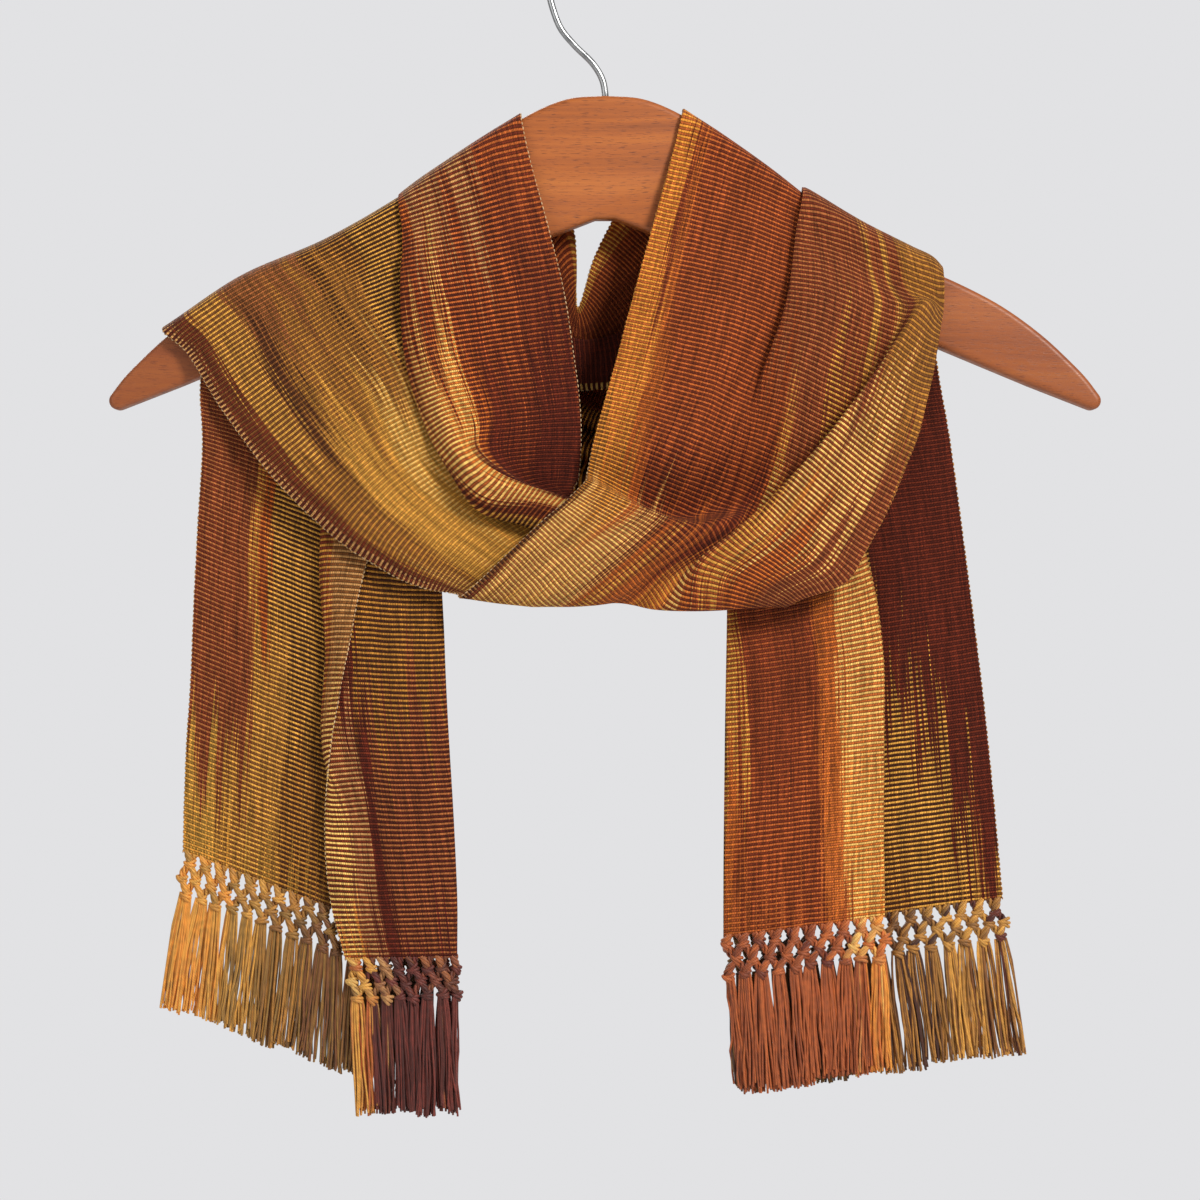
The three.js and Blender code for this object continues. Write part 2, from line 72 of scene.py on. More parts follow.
FRINGE_LENGTH = 70
KNOT_ROW_DEPTHS = (5, 11, 17.5)
TASSELS_PER_END = 26
TASSEL_YARNS = 30
FRINGE_YARNS = {
    "legs": {"radius": 0.78, "sides": 5},
    "knots": {"radius": 0.8, "sides": 6},
    "tassels": {"radius": 0.5, "sides": 5},
}
FRINGE_STEPS = 10
FRINGE_START = 4  # the depth down to which yarn keeps the cloth's slope
LEG_PLIES = 4
LEG_PLY_TURN = 1.57  # a quarter turn from ply to ply
LEG_TWIST = 1.3 * math.pi
LEG_ROOTS = (0.22, 0.78)  # where a top knot's two legs leave the cloth, as shares of the knot's width
LEG_ROOT_DEPTH = -0.6  # legs begin inside the cloth
LEG_DYE_DEPTH = 6  # how far past the cloth's end the dye plan is read
BOW_AT_CLOTH = 0.4  # how far a leg bows aside between its ends
BOW_AT_KNOTS = 0.7
KNOT_SHARES = (0.004, 0.996)  # the outermost knots stay inside the selvedges
KNOT_SHARE_JITTER = 0.003
KNOT_DEPTH_JITTER = 1.2
KNOT_TILT = 0.5
KNOT_LEAN = 0.4
KNOT_SIZES = (0.88, 1.12)
KNOT_DYE_DEPTH = 12
TASSEL_TOP = 2.5  # half the width of a tassel below its knot
TASSEL_OPENING = (2.0, 3.4)  # how much wider it gets towards its tips
TASSEL_SWAY = 2.0
TASSEL_LENGTH_JITTER = 1.5
TASSEL_TIP_SCATTER = 2.4
TASSEL_DYE_DEPTH = 30
KNOT_STEPS = 10
KNOT_TURNS = [
    {"tilt": 0.45, "reach": 2.1, "rise": 0.95, "thick": 1.3},
    {"tilt": -0.45, "reach": 2.05, "rise": -0.95, "thick": 1.3},
    {"tilt": -0.12, "reach": 2.3, "rise": 0.1, "thick": 1.6},
]

# The right half of the board's top outline as (x, z), from the middle to the tip. The left half
# mirrors it.
BOARD_TOP = [
    (0, -72), (17, -73.5), (35, -81), (53, -93.5), (73, -108.5), (93, -124), (116, -137), (137, -147),
    (158, -156), (178, -166.5), (196, -179.5), (209, -191.5), (216, -198.8), (221.7, -206.3),
]
# The round tip: the middle of its arc, and the angles where the arc leaves the top line and meets the
# underside.
BOARD_TIP = {"x": 218.6, "z": -208.9, "radius": 4, "from": 40, "to": -113}
# Its underside's right half as (x, z), from the tip to the notch in the middle.
BOARD_UNDER = [
    (190, -202), (148, -184.5), (60, -149.5), (16, -132), (4.5, -127.5),
]

# The hook's route below its loop as (x, z), from the wood upwards.
HOOK_NECK = [
    (0, -72 - HOOK_DEPTH_IN_WOOD), (0, -70), (-1.5, -63.5), (-5.5, -57), (-14, -48.5), (-20, -41),
]

# ---- the scarf's sections -----------------------------------------------------------------------------
# A section has nine points, from the edge that shows beside the neck on the right (gold edge) to the
# other edge. x and z place them, and out is how far they stand in front of the board's middle plane.
# An "over" row is worked out from the board: x places the points along an arm, lift is the height of
# the cloth over the wood, and lean is how far x moves as slanting cloth climbs to the top edge. It
# gives five sections, from one side of the board to the other.

# Left end, from the fringe up. A row gives the edge in front, the flap's fold where there is one, the
# fold between the layers and the outer edge as (x, z), and how far the back and front layers stand out.
TAIL_LEFT = [
    ((-116, -459), None, (-66.5, -458), (-189, -411), 7, 12),
    ((-122.5, -433), None, (-66.5, -433), (-188.5, -392), 7.5, 12.5),
    ((-125, -400), None, (-68, -400), (-187.5, -365), 8, 13),
    ((-122, -362), (-126, -362), (-70, -362), (-185.5, -335), 8.5, 14),
    ((-115, -322), (-125, -321), (-72, -318), (-184, -300), 9, 14.5),
    ((-107, -284), (-127, -281), (-74, -272), (-182, -262), 9.5, 15),
    ((-93, -242), (-122, -240), (-72, -228), (-180, -228), 10, 14.5),
    ((-78, -196), (-96, -196), (-64, -180), (-181, -203), 10, 13),
]
# A hanging end's nine points: how far each lies from one fold to the next, and how far it stands off
# its layer. The first two lie on the flap where there is one, and otherwise in front.
TAIL_ON_FLAP = [
    {"share": 0, "off": 3},
    {"share": 0, "off": 1.2},
]
TAIL_WITHOUT_FLAP = [
    {"share": 0, "off": 0},
    {"share": 0.14, "off": 0},
]
TAIL_FRONT = [
    {"share": 0.4, "off": 0.3},
    {"share": 0.85, "off": 0.5},
]
TAIL_BACK = [
    {"share": 0.1, "off": -0.4},
    {"share": 0.4, "off": 0.8},
    {"share": 0.72, "off": -0.5},
    {"share": 1, "off": 0.3},
]

# How cloth turns over the board, from its face to the middle of its top edge. A section lies inset
# from the face and below the top edge. Spread and rise are the share of the cloth's height over the
# wood that moves it out and up, and slide the share of its lean that moves it along the edge.
OVER_PROFILE = [
    {"inset": 0, "spread": 1, "below": 13, "rise": 0, "slide": 0},
    {"inset": 1.2, "spread": 0.9, "below": 1, "rise": 0.45, "slide": 0.9},
    {"inset": 7, "spread": 0, "below": -0.4, "rise": 1, "slide": 1},
]
OVER_LEFT_UNDER = {
    "x": [-48, -62, -76, -90, -104, -120, -138, -158, -178],
    "lift": [1.2] * 9,
    "lean": [0] * 9,
}
NECK_INNER = [
    {  # left of the neck
        "x": [-64, -72, -80, -88, -95, -103, -112, -122, -134],
        "z": [-128, -141, -155, -163, -170, -177, -184, -192, -202],
        "out": [-9.5, -13.5, -9.5, -13.5, -9.5, -13.5, -9.5, -13, -10.5],
    },
    {  # nearing the middle
        "x": [-17.5, -22, -27, -32, -36, -39, -42, -46, -50],
        "z": [-124, -140, -155, -167, -174, -181, -187, -196, -207],
        "out": [-12, -12, -12.5, -13, -10, -9, -9.5, -11, -12],
    },
    {  # middle of the neck
        "x": [-12.5, -11, -10, -9, -9, -8, -8, -7, -6],
        "z": [-166, -173, -179, -184, -181, -186, -191, -197, -203],
        "out": [-12, -12, -13, -13, -9, -8, -8.5, -10, -11],
    },
    {  # right of the middle
        "x": [-5, 2, 9, 15, 17, 20, 23, 26, 28],
        "z": [-144, -155, -167, -176, -175, -181, -187, -194, -202],
        "out": [-12, -13, -15, -16, -12, -11, -11.5, -13, -14],
    },
    {  # right of the neck
        "x": [7, 21, 35, 48, 58, 67, 75, 84, 92],
        "z": [-121, -135, -148, -160, -167, -173, -179, -188, -198],
        "out": [-15, -17, -18, -18.5, -18.5, -18.5, -18.5, -18.5, -18],
    },
]
OVER_RIGHT_TOP = {
    "x": [32, 50, 70, 95, 86, 115, 136, 146, 151.5],
    "lift": [1.8, 3.2, 4, 3.4, 7, 7.4, 7, 6.4, 3.8],
    "lean": [3, 4, 4, 4, 3, 3, 2, 1, 0],
}
FRONT_RIGHT = [
    {  # chest
        "x": [12.6, 36, 60, 87, 81, 109, 134, 142, 149.5],
        "z": [-163.4, -164.3, -165, -163, -164, -163, -167, -167, -177],
        "out": [17, 20.5, 21.5, 16, 22.5, 23.5, 20, 24.5, 17],
    },
    {  # breast
        "x": [3, 26, 49, 69, 70, 92, 117, 118, 141.5],
        "z": [-199.4, -201, -202, -199, -200, -198, -204, -201, -217],
        "out": [21, 25.5, 27, 19.5, 23.5, 27, 20, 33, 19],
    },
    {  # waist
        "x": [-5, 16, 38, 57, 62, 77, 102, 96, 129],
        "z": [-228.6, -231, -232, -229, -230, -227, -235, -230, -250],
        "out": [24.5, 29.5, 31.5, 24, 21, 25, 20, 38, 23],
    },
    {  # dip behind the lap
        "x": [-7.7, 10.8, 28, 44, 51, 61, 79, 71, 115],
        "z": [-241.7, -253, -260, -260, -259, -257, -259, -256, -277],
        "out": [24, 24.5, 23, 19.5, 18.5, 18.5, 20, 41, 28],
    },
    {  # lap's top fold
        "x": [-8.6, 11.7, 28, 40, 45, 52, 62, 57, 107],
        "z": [-246, -257, -263.5, -267, -267.5, -267, -271, -268, -290],
        "out": [30.5, 37, 40, 39, 37.5, 35.5, 32, 43.5, 31],
    },
    {  # lap
        "x": [-35, -13.5, 4.5, 16, 20, 26, 34, 40, 87],
        "z": [-270.5, -278.6, -284, -286, -286.5, -286, -287, -284, -298],
        "out": [37, 42, 44, 42, 42, 41, 41, 44, 33],
    },
    {  # hem
        "x": [-64, -39.6, -19.8, -4.5, 4.5, 12.5, 22, 40, 78],
        "z": [-297, -300.2, -301, -300.2, -299.3, -300.2, -302, -302.9, -301],
        "out": [30, 33, 34, 34, 33, 33, 36, 34, 27],
    },
]
FRONT_LEFT = [
    {  # behind the hem
        "x": [-65.5, -43, -25, -10.8, -1, 9, 23.9, 46, 78],
        "z": [-295.4, -294.8, -292, -288.5, -285.8, -283, -281, -283, -291],
        "out": [25, 22.5, 21, 20, 20, 20, 20, 20, 20.5],
    },
    {  # behind the lap
        "x": [-74.7, -55, -42, -26, -32, -24, -8, 6, 28],
        "z": [-294.3, -284, -276.8, -269, -266.5, -258.6, -257.5, -261, -270.5],
        "out": [24, 25, 23, 19.5, 26, 28, 20, 17.5, 16.5],
    },
    {  # in the roll
        "x": [-90, -75, -63, -42, -56, -52, -46.5, -35, -14],
        "z": [-289.5, -272, -262, -253, -259, -251, -242.5, -246, -250],
        "out": [24, 26.5, 22.5, 17.5, 27, 36, 33, 18.5, 16],
    },
    {  # above the roll
        "x": [-104, -87, -76, -52, -68, -64, -57, -36, -12],
        "z": [-281.5, -263, -250, -236, -243, -237, -231.5, -239, -244],
        "out": [23, 26, 22.5, 17.3, 27, 34.5, 30, 18.5, 16],
    },
    {  # breast
        "x": [-118, -97.7, -84, -58, -78, -71, -54, -32.4, -11],
        "z": [-272.3, -253.4, -238, -222, -225, -219.5, -218, -215, -216.5],
        "out": [22, 26, 23, 16.8, 25, 31, 26, 20.5, 17],
    },
    {  # chest
        "x": [-145, -122.4, -98, -70, -88.5, -80, -60, -37, -14.4],
        "z": [-246.6, -224, -200, -186, -191.5, -189, -190, -186.8, -188],
        "out": [20, 24, 22, 16.6, 23, 28, 25, 20.5, 16.5],
    },
    {  # shoulder
        "x": [-171, -144, -113, -76, -91, -83, -63, -41, -19.8],
        "z": [-212.9, -191, -171.5, -155, -159, -157, -157.5, -155.3, -155.3],
        "out": [16, 19.5, 19, 15.2, 21.5, 24, 22.5, 19, 16],
    },
]
OVER_LEFT_TOP = {
    "x": [-188, -156, -119, -77, -90.5, -83, -69.5, -52, -35.5],
    "lift": [4.2, 5, 4.4, 3.4, 6.2, 6.8, 5.4, 4, 2],
    "lean": [-10, -9, -7, -3, -2, -2, -2.5, -3, -2.5],
}
NECK_OUTER = [
    {  # left shoulder blade
        "x": [-158, -138, -120, -104, -89, -75, -62, -48, -34],
        "z": [-214, -200, -188, -177, -167, -158, -150, -142, -135],
        "out": [-17, -18.5, -17, -19, -17, -19, -17, -18.5, -16.5],
    },
    {  # left of the neck
        "x": [-108, -94, -82, -71, -61, -52, -43, -34, -25],
        "z": [-240, -228, -217, -207, -197, -187, -177, -166, -155],
        "out": [-17, -21.5, -17, -22, -17.5, -22, -17.5, -21.5, -17],
    },
    {  # middle of the neck
        "x": [-32, -28, -25, -22, -19, -17, -14, -11, -8],
        "z": [-256, -247, -239, -232, -225, -218, -211, -203, -192],
        "out": [-14.5, -21, -15, -23, -15.5, -23, -16, -22, -18],
    },
    {  # under the other strand
        "x": [36, 34, 33, 32, 31, 30, 29, 28, 27],
        "z": [-258, -251, -244, -238, -232, -226, -220, -214, -208],
        "out": [-9.5, -16, -10, -16, -10, -16, -10.5, -15, -11],
    },
    {  # right shoulder blade
        "x": [103, 98, 94, 90, 86, 81, 76, 68, 58],
        "z": [-240, -231, -222, -213, -205, -197, -190, -182, -172],
        "out": [-9.5, -13.5, -9.5, -13.5, -9.5, -13.5, -9.5, -13, -10],
    },
]
OVER_RIGHT_UNDER = {
    "x": [146, 137, 128, 118, 107, 95, 83, 70, 56],
    "lift": [1.2] * 9,
    "lean": [0] * 9,
}
# Right end, down to the fringe. Its outer edge is the gold one, and it has no flap.
TAIL_RIGHT = [
    ((86, -196), None, (62, -180), (148, -190), 10, 13.5),
    ((103, -242), None, (56, -236), (154, -226), 10, 14.5),
    ((118, -284), None, (55, -284), (159, -262), 9.5, 15),
    ((124, -322), None, (54.5, -325), (164, -300), 9, 14.5),
    ((124.5, -362), None, (54, -368), (169, -340), 8.5, 14),
    ((124.5, -400), None, (53.5, -408), (173, -378), 8, 13),
    ((125, -440), None, (53.5, -449), (178, -432), 7, 12),
]


# ---- the ribbon's surface ----------------------------------------------------------------------------
def knot_step(a, b):
    """The centripetal spline's step from one point to the next."""
    return np.maximum(np.linalg.norm(a - b, axis=-1, keepdims=True) ** 0.5, 1e-4)


def catmull_rom(points, count):
    """Centripetal spline through points, an array (n, ..., 3), sampled at count + 1 even steps."""
    points = np.asarray(points, float)
    last = len(points) - 1
    samples = []
    for k in range(count + 1):
        place = last * k / count
        i = min(int(place), last - 1)
        t = place - i
        p1, p2 = points[i], points[i + 1]
        p0 = points[i - 1] if i > 0 else 2 * p1 - p2
        p3 = points[i + 2] if i + 2 <= last else 2 * p2 - p1
        d0, d1, d2 = knot_step(p0, p1), knot_step(p1, p2), knot_step(p2, p3)
        m1 = ((p1 - p0) / d0 - (p2 - p0) / (d0 + d1) + (p2 - p1) / d1) * d1
        m2 = ((p2 - p1) / d1 - (p3 - p1) / (d1 + d2) + (p3 - p2) / d2) * d1
        square = 3 * (p2 - p1) - 2 * m1 - m2
        cube = 2 * (p1 - p2) + m1 + m2
        samples.append(p1 + m1 * t + square * t**2 + cube * t**3)
    return np.array(samples)


def mix(a, b, share):
    return a + (b - a) * share


board_top_line = catmull_rom([(x, 0, z) for x, z in BOARD_TOP], 8 * (len(BOARD_TOP) - 1))


def board_top(x):
    return float(np.interp(abs(x), board_top_line[:, 0], board_top_line[:, 2]))


def free_sections(table):
    return [[(x, -out, z) for x, out, z in zip(row["x"], row["out"], row["z"])] for row in table]


def over_board(row, side):
    """Five sections of cloth over the board, from its front (side -1) or its back (side 1) to the other."""

    def section(p, face):
        points = []
        for x, lift, lean in zip(row["x"], row["lift"], row["lean"]):
            height = lift + WALL_IN_FRAME / 2
            depth = BOARD_THICKNESS / 2 - p["inset"] + p["spread"] * height
            slid = x + p["slide"] * lean
            points.append((slid, face * depth, board_top(slid) - p["below"] + p["rise"] * height))
        return points

    hanging, shoulder, top = OVER_PROFILE
    return [
        section(hanging, side),
        section(shoulder, side),
        section(top, 1),
        section(shoulder, -side),
        section(hanging, -side),
    ]


def tail_section(row):
    """A section of a hanging end, from its edge in front to its outer edge."""
    edge, flap, fold, outer, back, front = row

    def place(a, b, p, layer):
        return (mix(a[0], b[0], p["share"]), -layer - p["off"], mix(a[1], b[1], p["share"]))

    if flap:
        edge_side = [place(edge, fold, TAIL_ON_FLAP[0], front), place(flap, fold, TAIL_ON_FLAP[1], front)]
    else:
        edge_side = [place(edge, fold, p, front) for p in TAIL_WITHOUT_FLAP]
    return [
        *edge_side,
        *[place(flap or edge, fold, p, front) for p in TAIL_FRONT],
        (fold[0], -(back + front) / 2, fold[1]),
        *[place(fold, outer, p, back) for p in TAIL_BACK],
    ]


# The six stretches from the left fringe to the right one. Two that meet on top of the board share an
# "over" row: three of its sections belong to the first and two to the second.
left_under = over_board(OVER_LEFT_UNDER, -1)
right_top = over_board(OVER_RIGHT_TOP, 1)
left_top = over_board(OVER_LEFT_TOP, -1)
right_under = over_board(OVER_RIGHT_UNDER, 1)
STRETCHES = {
    "end_left": [tail_section(row) for row in TAIL_LEFT] + left_under[:3],
    "neck_inner": left_under[3:] + free_sections(NECK_INNER) + right_top[:3],
    "front_right": right_top[3:] + free_sections(FRONT_RIGHT),
    "front_left": free_sections(FRONT_LEFT) + left_top[:3],
    "neck_outer": left_top[3:] + free_sections(NECK_OUTER) + right_under[:3],
    "end_right": right_under[3:] + [tail_section(row)[::-1] for row in TAIL_RIGHT],
}


def first_section_of(name):
    """How many sections come before a stretch."""
    before = list(STRETCHES)[: list(STRETCHES).index(name)]
    return sum(len(STRETCHES[stretch]) for stretch in before)


def unit(vectors):
    return vectors / np.maximum(np.linalg.norm(vectors, axis=-1, keepdims=True), 1e-9)


def grid_normals(grid):
    return unit(np.cross(np.gradient(grid, axis=1), np.gradient(grid, axis=0)))


def smoothed(values, reach):
    """A running mean along the first axis."""
    padded = np.concatenate([values[:1]] * reach + [values] + [values[-1:]] * reach)
    return np.mean([padded[k : k + len(values)] for k in range(2 * reach + 1)], axis=0)


# Sections from each fringe where the weft still lies as the fringe does, and where it lies square again.
LEFT_END_ROWS = (7, 14)
RIGHT_END_ROWS = (3, 10)
SMOOTHED_ROWS = 3
WEFT_SOLVE_STEPS = 400
WEIGHT_LIMITS = (0.1, 10)


def weave_places(grid):
    """Each point's place in the cloth: millimetres across from the gold edge and along from the fringe."""
    widths = np.linalg.norm(np.diff(grid, axis=1), axis=-1)
    across = np.pad(np.cumsum(widths, axis=1), [(0, 0), (1, 0)])
    across = smoothed(across / across[:, -1:], SMOOTHED_ROWS * CELLS_PER_ROW) * CLOTH_WIDTH
    along = square_weft(grid)
    rows_in = np.arange(len(grid)) / CELLS_PER_ROW
    for end, (slanted, square) in ((0, LEFT_END_ROWS), (-1, RIGHT_END_ROWS)):
        error = along[end] - along[end].mean()
        fade = np.clip((square - rows_in) / (square - slanted), 0, 1)[:, None]
        along = along - (fade if end == 0 else fade[::-1]) * error
    return across, along - along[0].mean()


def square_weft(grid):
    """The length along the warp that fits the surface best, with the weft square to it.

    It grows by one millimetre a millimetre of cloth. It is the least-squares answer, found by conjugate
    gradients from the mean length of the columns.
    """
    along_steps = np.diff(grid, axis=0)
    across_steps = np.diff(grid, axis=1)
    lengths = np.linalg.norm(along_steps, axis=-1)
    widths = np.maximum(np.linalg.norm(across_steps, axis=-1), 1e-6)
    direction = unit(np.gradient(grid, axis=0))
    leans = np.sum(across_steps * (direction[:, 1:] + direction[:, :-1]) / 2, axis=-1)
    width_at = np.pad(widths, [(0, 0), (0, 1)], mode="edge")[1:]
    length_at = np.pad(lengths, [(0, 1), (0, 0)], mode="edge")[:, 1:]
    along_weight = np.clip(width_at / lengths, *WEIGHT_LIMITS)
    across_weight = np.clip(length_at / widths, *WEIGHT_LIMITS)

    def gather(along_part, across_part, sign=-1):
        """Adds each cell side's part to the point at its end, and with the sign to the one at its start."""
        total = np.zeros(grid.shape[:2])
        total[1:] += along_part
        total[:-1] += sign * along_part
        total[:, 1:] += across_part
        total[:, :-1] += sign * across_part
        return total

    def apply(values):
        return gather(along_weight * np.diff(values, axis=0), across_weight * np.diff(values, axis=1))

    mean_length = np.concatenate([[0], np.cumsum(lengths.mean(axis=1))])
    answer = np.repeat(mean_length[:, None], grid.shape[1], axis=1)
    rest = gather(along_weight * lengths, across_weight * leans) - apply(answer)
    scale = 1 / gather(along_weight, across_weight, sign=1)
    search = rest * scale
    power = np.sum(rest * search)
    for _ in range(WEFT_SOLVE_STEPS):
        pushed = apply(search)
        step = power / np.sum(search * pushed)
        answer = answer + step * search
        rest = rest - step * pushed
        conditioned = rest * scale
        new_power = np.sum(rest * conditioned)
        search = conditioned + search * (new_power / power)
        power = new_power
    return answer


sections = np.array([section for stretch in STRETCHES.values() for section in stretch], float)
grid = catmull_rom(np.swapaxes(sections, 0, 1), (sections.shape[1] - 1) * CELLS_PER_COLUMN)
grid = catmull_rom(np.swapaxes(grid, 0, 1), (sections.shape[0] - 1) * CELLS_PER_ROW)
across_mm, along_mm = weave_places(grid)
cloth_length = float(along_mm[-1].mean())

# Soft troughs (height below 0) and ridges: the stretch, the row and column of its table where each starts
# and where it ends, then its width, its height and how far it bends aside.
CREASES = [
    ("front_right", (3.4, 3.4), (6.4, 3.5), 9, -1.6, 2),
    ("front_right", (1.6, 1.6), (4.6, 2.2), 6, -0.9, -3),
    ("front_right", (1.0, 2.3), (3.6, 2.5), 5, 0.8, 2),
    ("front_right", (1.4, 4.6), (4.4, 4.3), 6, -1.2, 2),
    ("front_right", (2.6, 5.3), (5.6, 4.9), 5, 0.9, -2),
    ("front_right", (3.2, 6.6), (6.0, 6.3), 6, -1.0, 2),
    ("front_right", (4.6, 5.4), (6.2, 4.2), 8, -1.6, 1),
    ("front_right", (6.0, 1.4), (8.0, 1.2), 7, -1.0, 2),
    ("front_right", (6.2, 4.6), (7.8, 4.2), 5, 0.8, -1),
    ("front_left", (2.4, 1.2), (6.6, 1.4), 8, -1.2, 4),
    ("front_left", (1.8, 0.6), (5.2, 0.5), 6, 0.8, -2),
    ("front_left", (3.6, 2.3), (7.0, 2.1), 7, 0.9, 3),
    ("front_left", (1.4, 3.5), (3.6, 3.4), 4, -1.2, 1),
    ("front_left", (4.6, 6.4), (7.0, 6.5), 7, -1.1, -2),
    ("front_left", (4.8, 7.1), (7.2, 7.2), 6, 0.7, 2),
    ("end_left", (1.0, 7.4), (6.4, 7.2), 8, 0.9, 3),
    ("end_left", (2.4, 6.4), (7.0, 6.6), 7, -0.9, -2),
    ("end_left", (0.4, 2.2), (5.0, 2.4), 7, 0.8, 2),
    ("end_left", (1.0, 3.2), (4.0, 3.3), 5, -0.6, 1),
    ("end_right", (3.4, 5.6), (8.0, 5.9), 7, 0.8, -2),
    ("end_right", (3.0, 6.7), (7.4, 6.6), 6, -0.7, 2),
    ("end_right", (2.6, 1.2), (7.6, 1.1), 8, 0.9, -3),
    ("neck_inner", (2.0, 2.4), (7.0, 2.8), 5, -0.8, 1),
    ("neck_outer", (2.0, 1.4), (6.6, 1.5), 6, -0.9, 2),
    ("neck_outer", (2.2, 5.4), (6.4, 5.6), 6, -0.8, -2),
    ("neck_outer", (1.8, 6.9), (5.0, 6.8), 5, 0.7, 1),
]


def place_of(stretch, row, column):
    """The place in the cloth of a row and column of a stretch's table."""
    i = int(round((first_section_of(stretch) + row) * CELLS_PER_ROW))
    j = int(round(column * CELLS_PER_COLUMN))
    return float(across_mm[i, j]), float(along_mm[i, j])


def bump_along(start, end, width, height, bend):
    """A soft trough or ridge from one place in the cloth to another, as a height at each point."""
    da, dl = end[0] - start[0], end[1] - start[1]
    reach = max(math.hypot(da, dl), 1)
    t = ((across_mm - start[0]) * da + (along_mm - start[1]) * dl) / reach**2
    off = ((across_mm - start[0]) * dl - (along_mm - start[1]) * da) / reach
    off = off - bend * np.sin(np.pi * np.clip(t, 0, 1))
    taper = np.clip(np.minimum(t, 1 - t) * 4 + 0.35, 0, 1)
    taper = taper * taper * (3 - 2 * taper)
    return height * np.exp(-((off / width) ** 2)) * taper


def crease_height():
    """How far each point of the cloth stands off the ribbon's smooth surface."""
    height = np.zeros(across_mm.shape)
    for stretch, start, end, *shape in CREASES:
        height += bump_along(place_of(stretch, *start), place_of(stretch, *end), *shape)
    # Slow unevenness of hand-woven cloth.
    ripple = np.sin(along_mm / 21 + 2.2 * np.sin(across_mm / 31))
    height += RIPPLE_HEIGHT * ripple * np.sin(across_mm / 17 + along_mm / 83)
    # The selvedges draw in and out a little.
    edge = np.exp(-np.minimum(across_mm, CLOTH_WIDTH - across_mm) / SELVEDGE_REACH)
    height += edge * SELVEDGE_WAVE * np.sin(along_mm / 7.3 + np.sin(along_mm / 19) * 2)
    return height


grid = grid + grid_normals(grid) * crease_height()[..., None]
normals = grid_normals(grid)


# ---- small helpers ------------------------------------------------------------------------------------
def link(obj):
    bpy.context.collection.objects.link(obj)
    return obj


def mesh_object(name, vertices, faces=(), edges=(), warp=None):
    """A mesh in metres from points in millimetres, with each point's place in the warp as an attribute."""
    mesh = bpy.data.meshes.new(name)
    mesh.from_pydata([tuple(float(c) * MM for c in v) for v in vertices], list(edges), list(faces))
    if warp is not None:
        attribute = mesh.attributes.new("warp", "FLOAT_VECTOR", "POINT")
        attribute.data.foreach_set("vector", np.asarray(warp, float).ravel())
    mesh.validate()
    mesh.update()
    return link(bpy.data.objects.new(name, mesh))


def shade(obj, material, sharp_degrees):
    obj.data.materials.clear()
    obj.data.materials.append(material)
    obj.data.shade_smooth()
    obj.data.set_sharp_from_angle(angle=math.radians(sharp_degrees))


def settle(obj):
    """Turns an object with modifiers into its plain mesh."""
    graph = bpy.context.evaluated_depsgraph_get()
    graph.update()
    mesh = bpy.data.meshes.new_from_object(
        obj.evaluated_get(graph), preserve_all_data_layers=True, depsgraph=graph
    )
    obj.modifiers.clear()
    obj.data = mesh
    return obj


# ---- materials ----------------------------------------------------------------------------------------
def srgb(red, green, blue):
    """A colour given as it looks on a screen, 0 to 255, in the shader's linear values."""
    values = [c / 255 for c in (red, green, blue)]
    return tuple(c / 12.92 if c <= 0.04045 else ((c + 0.055) / 1.055) ** 2.4 for c in values) + (1.0,)


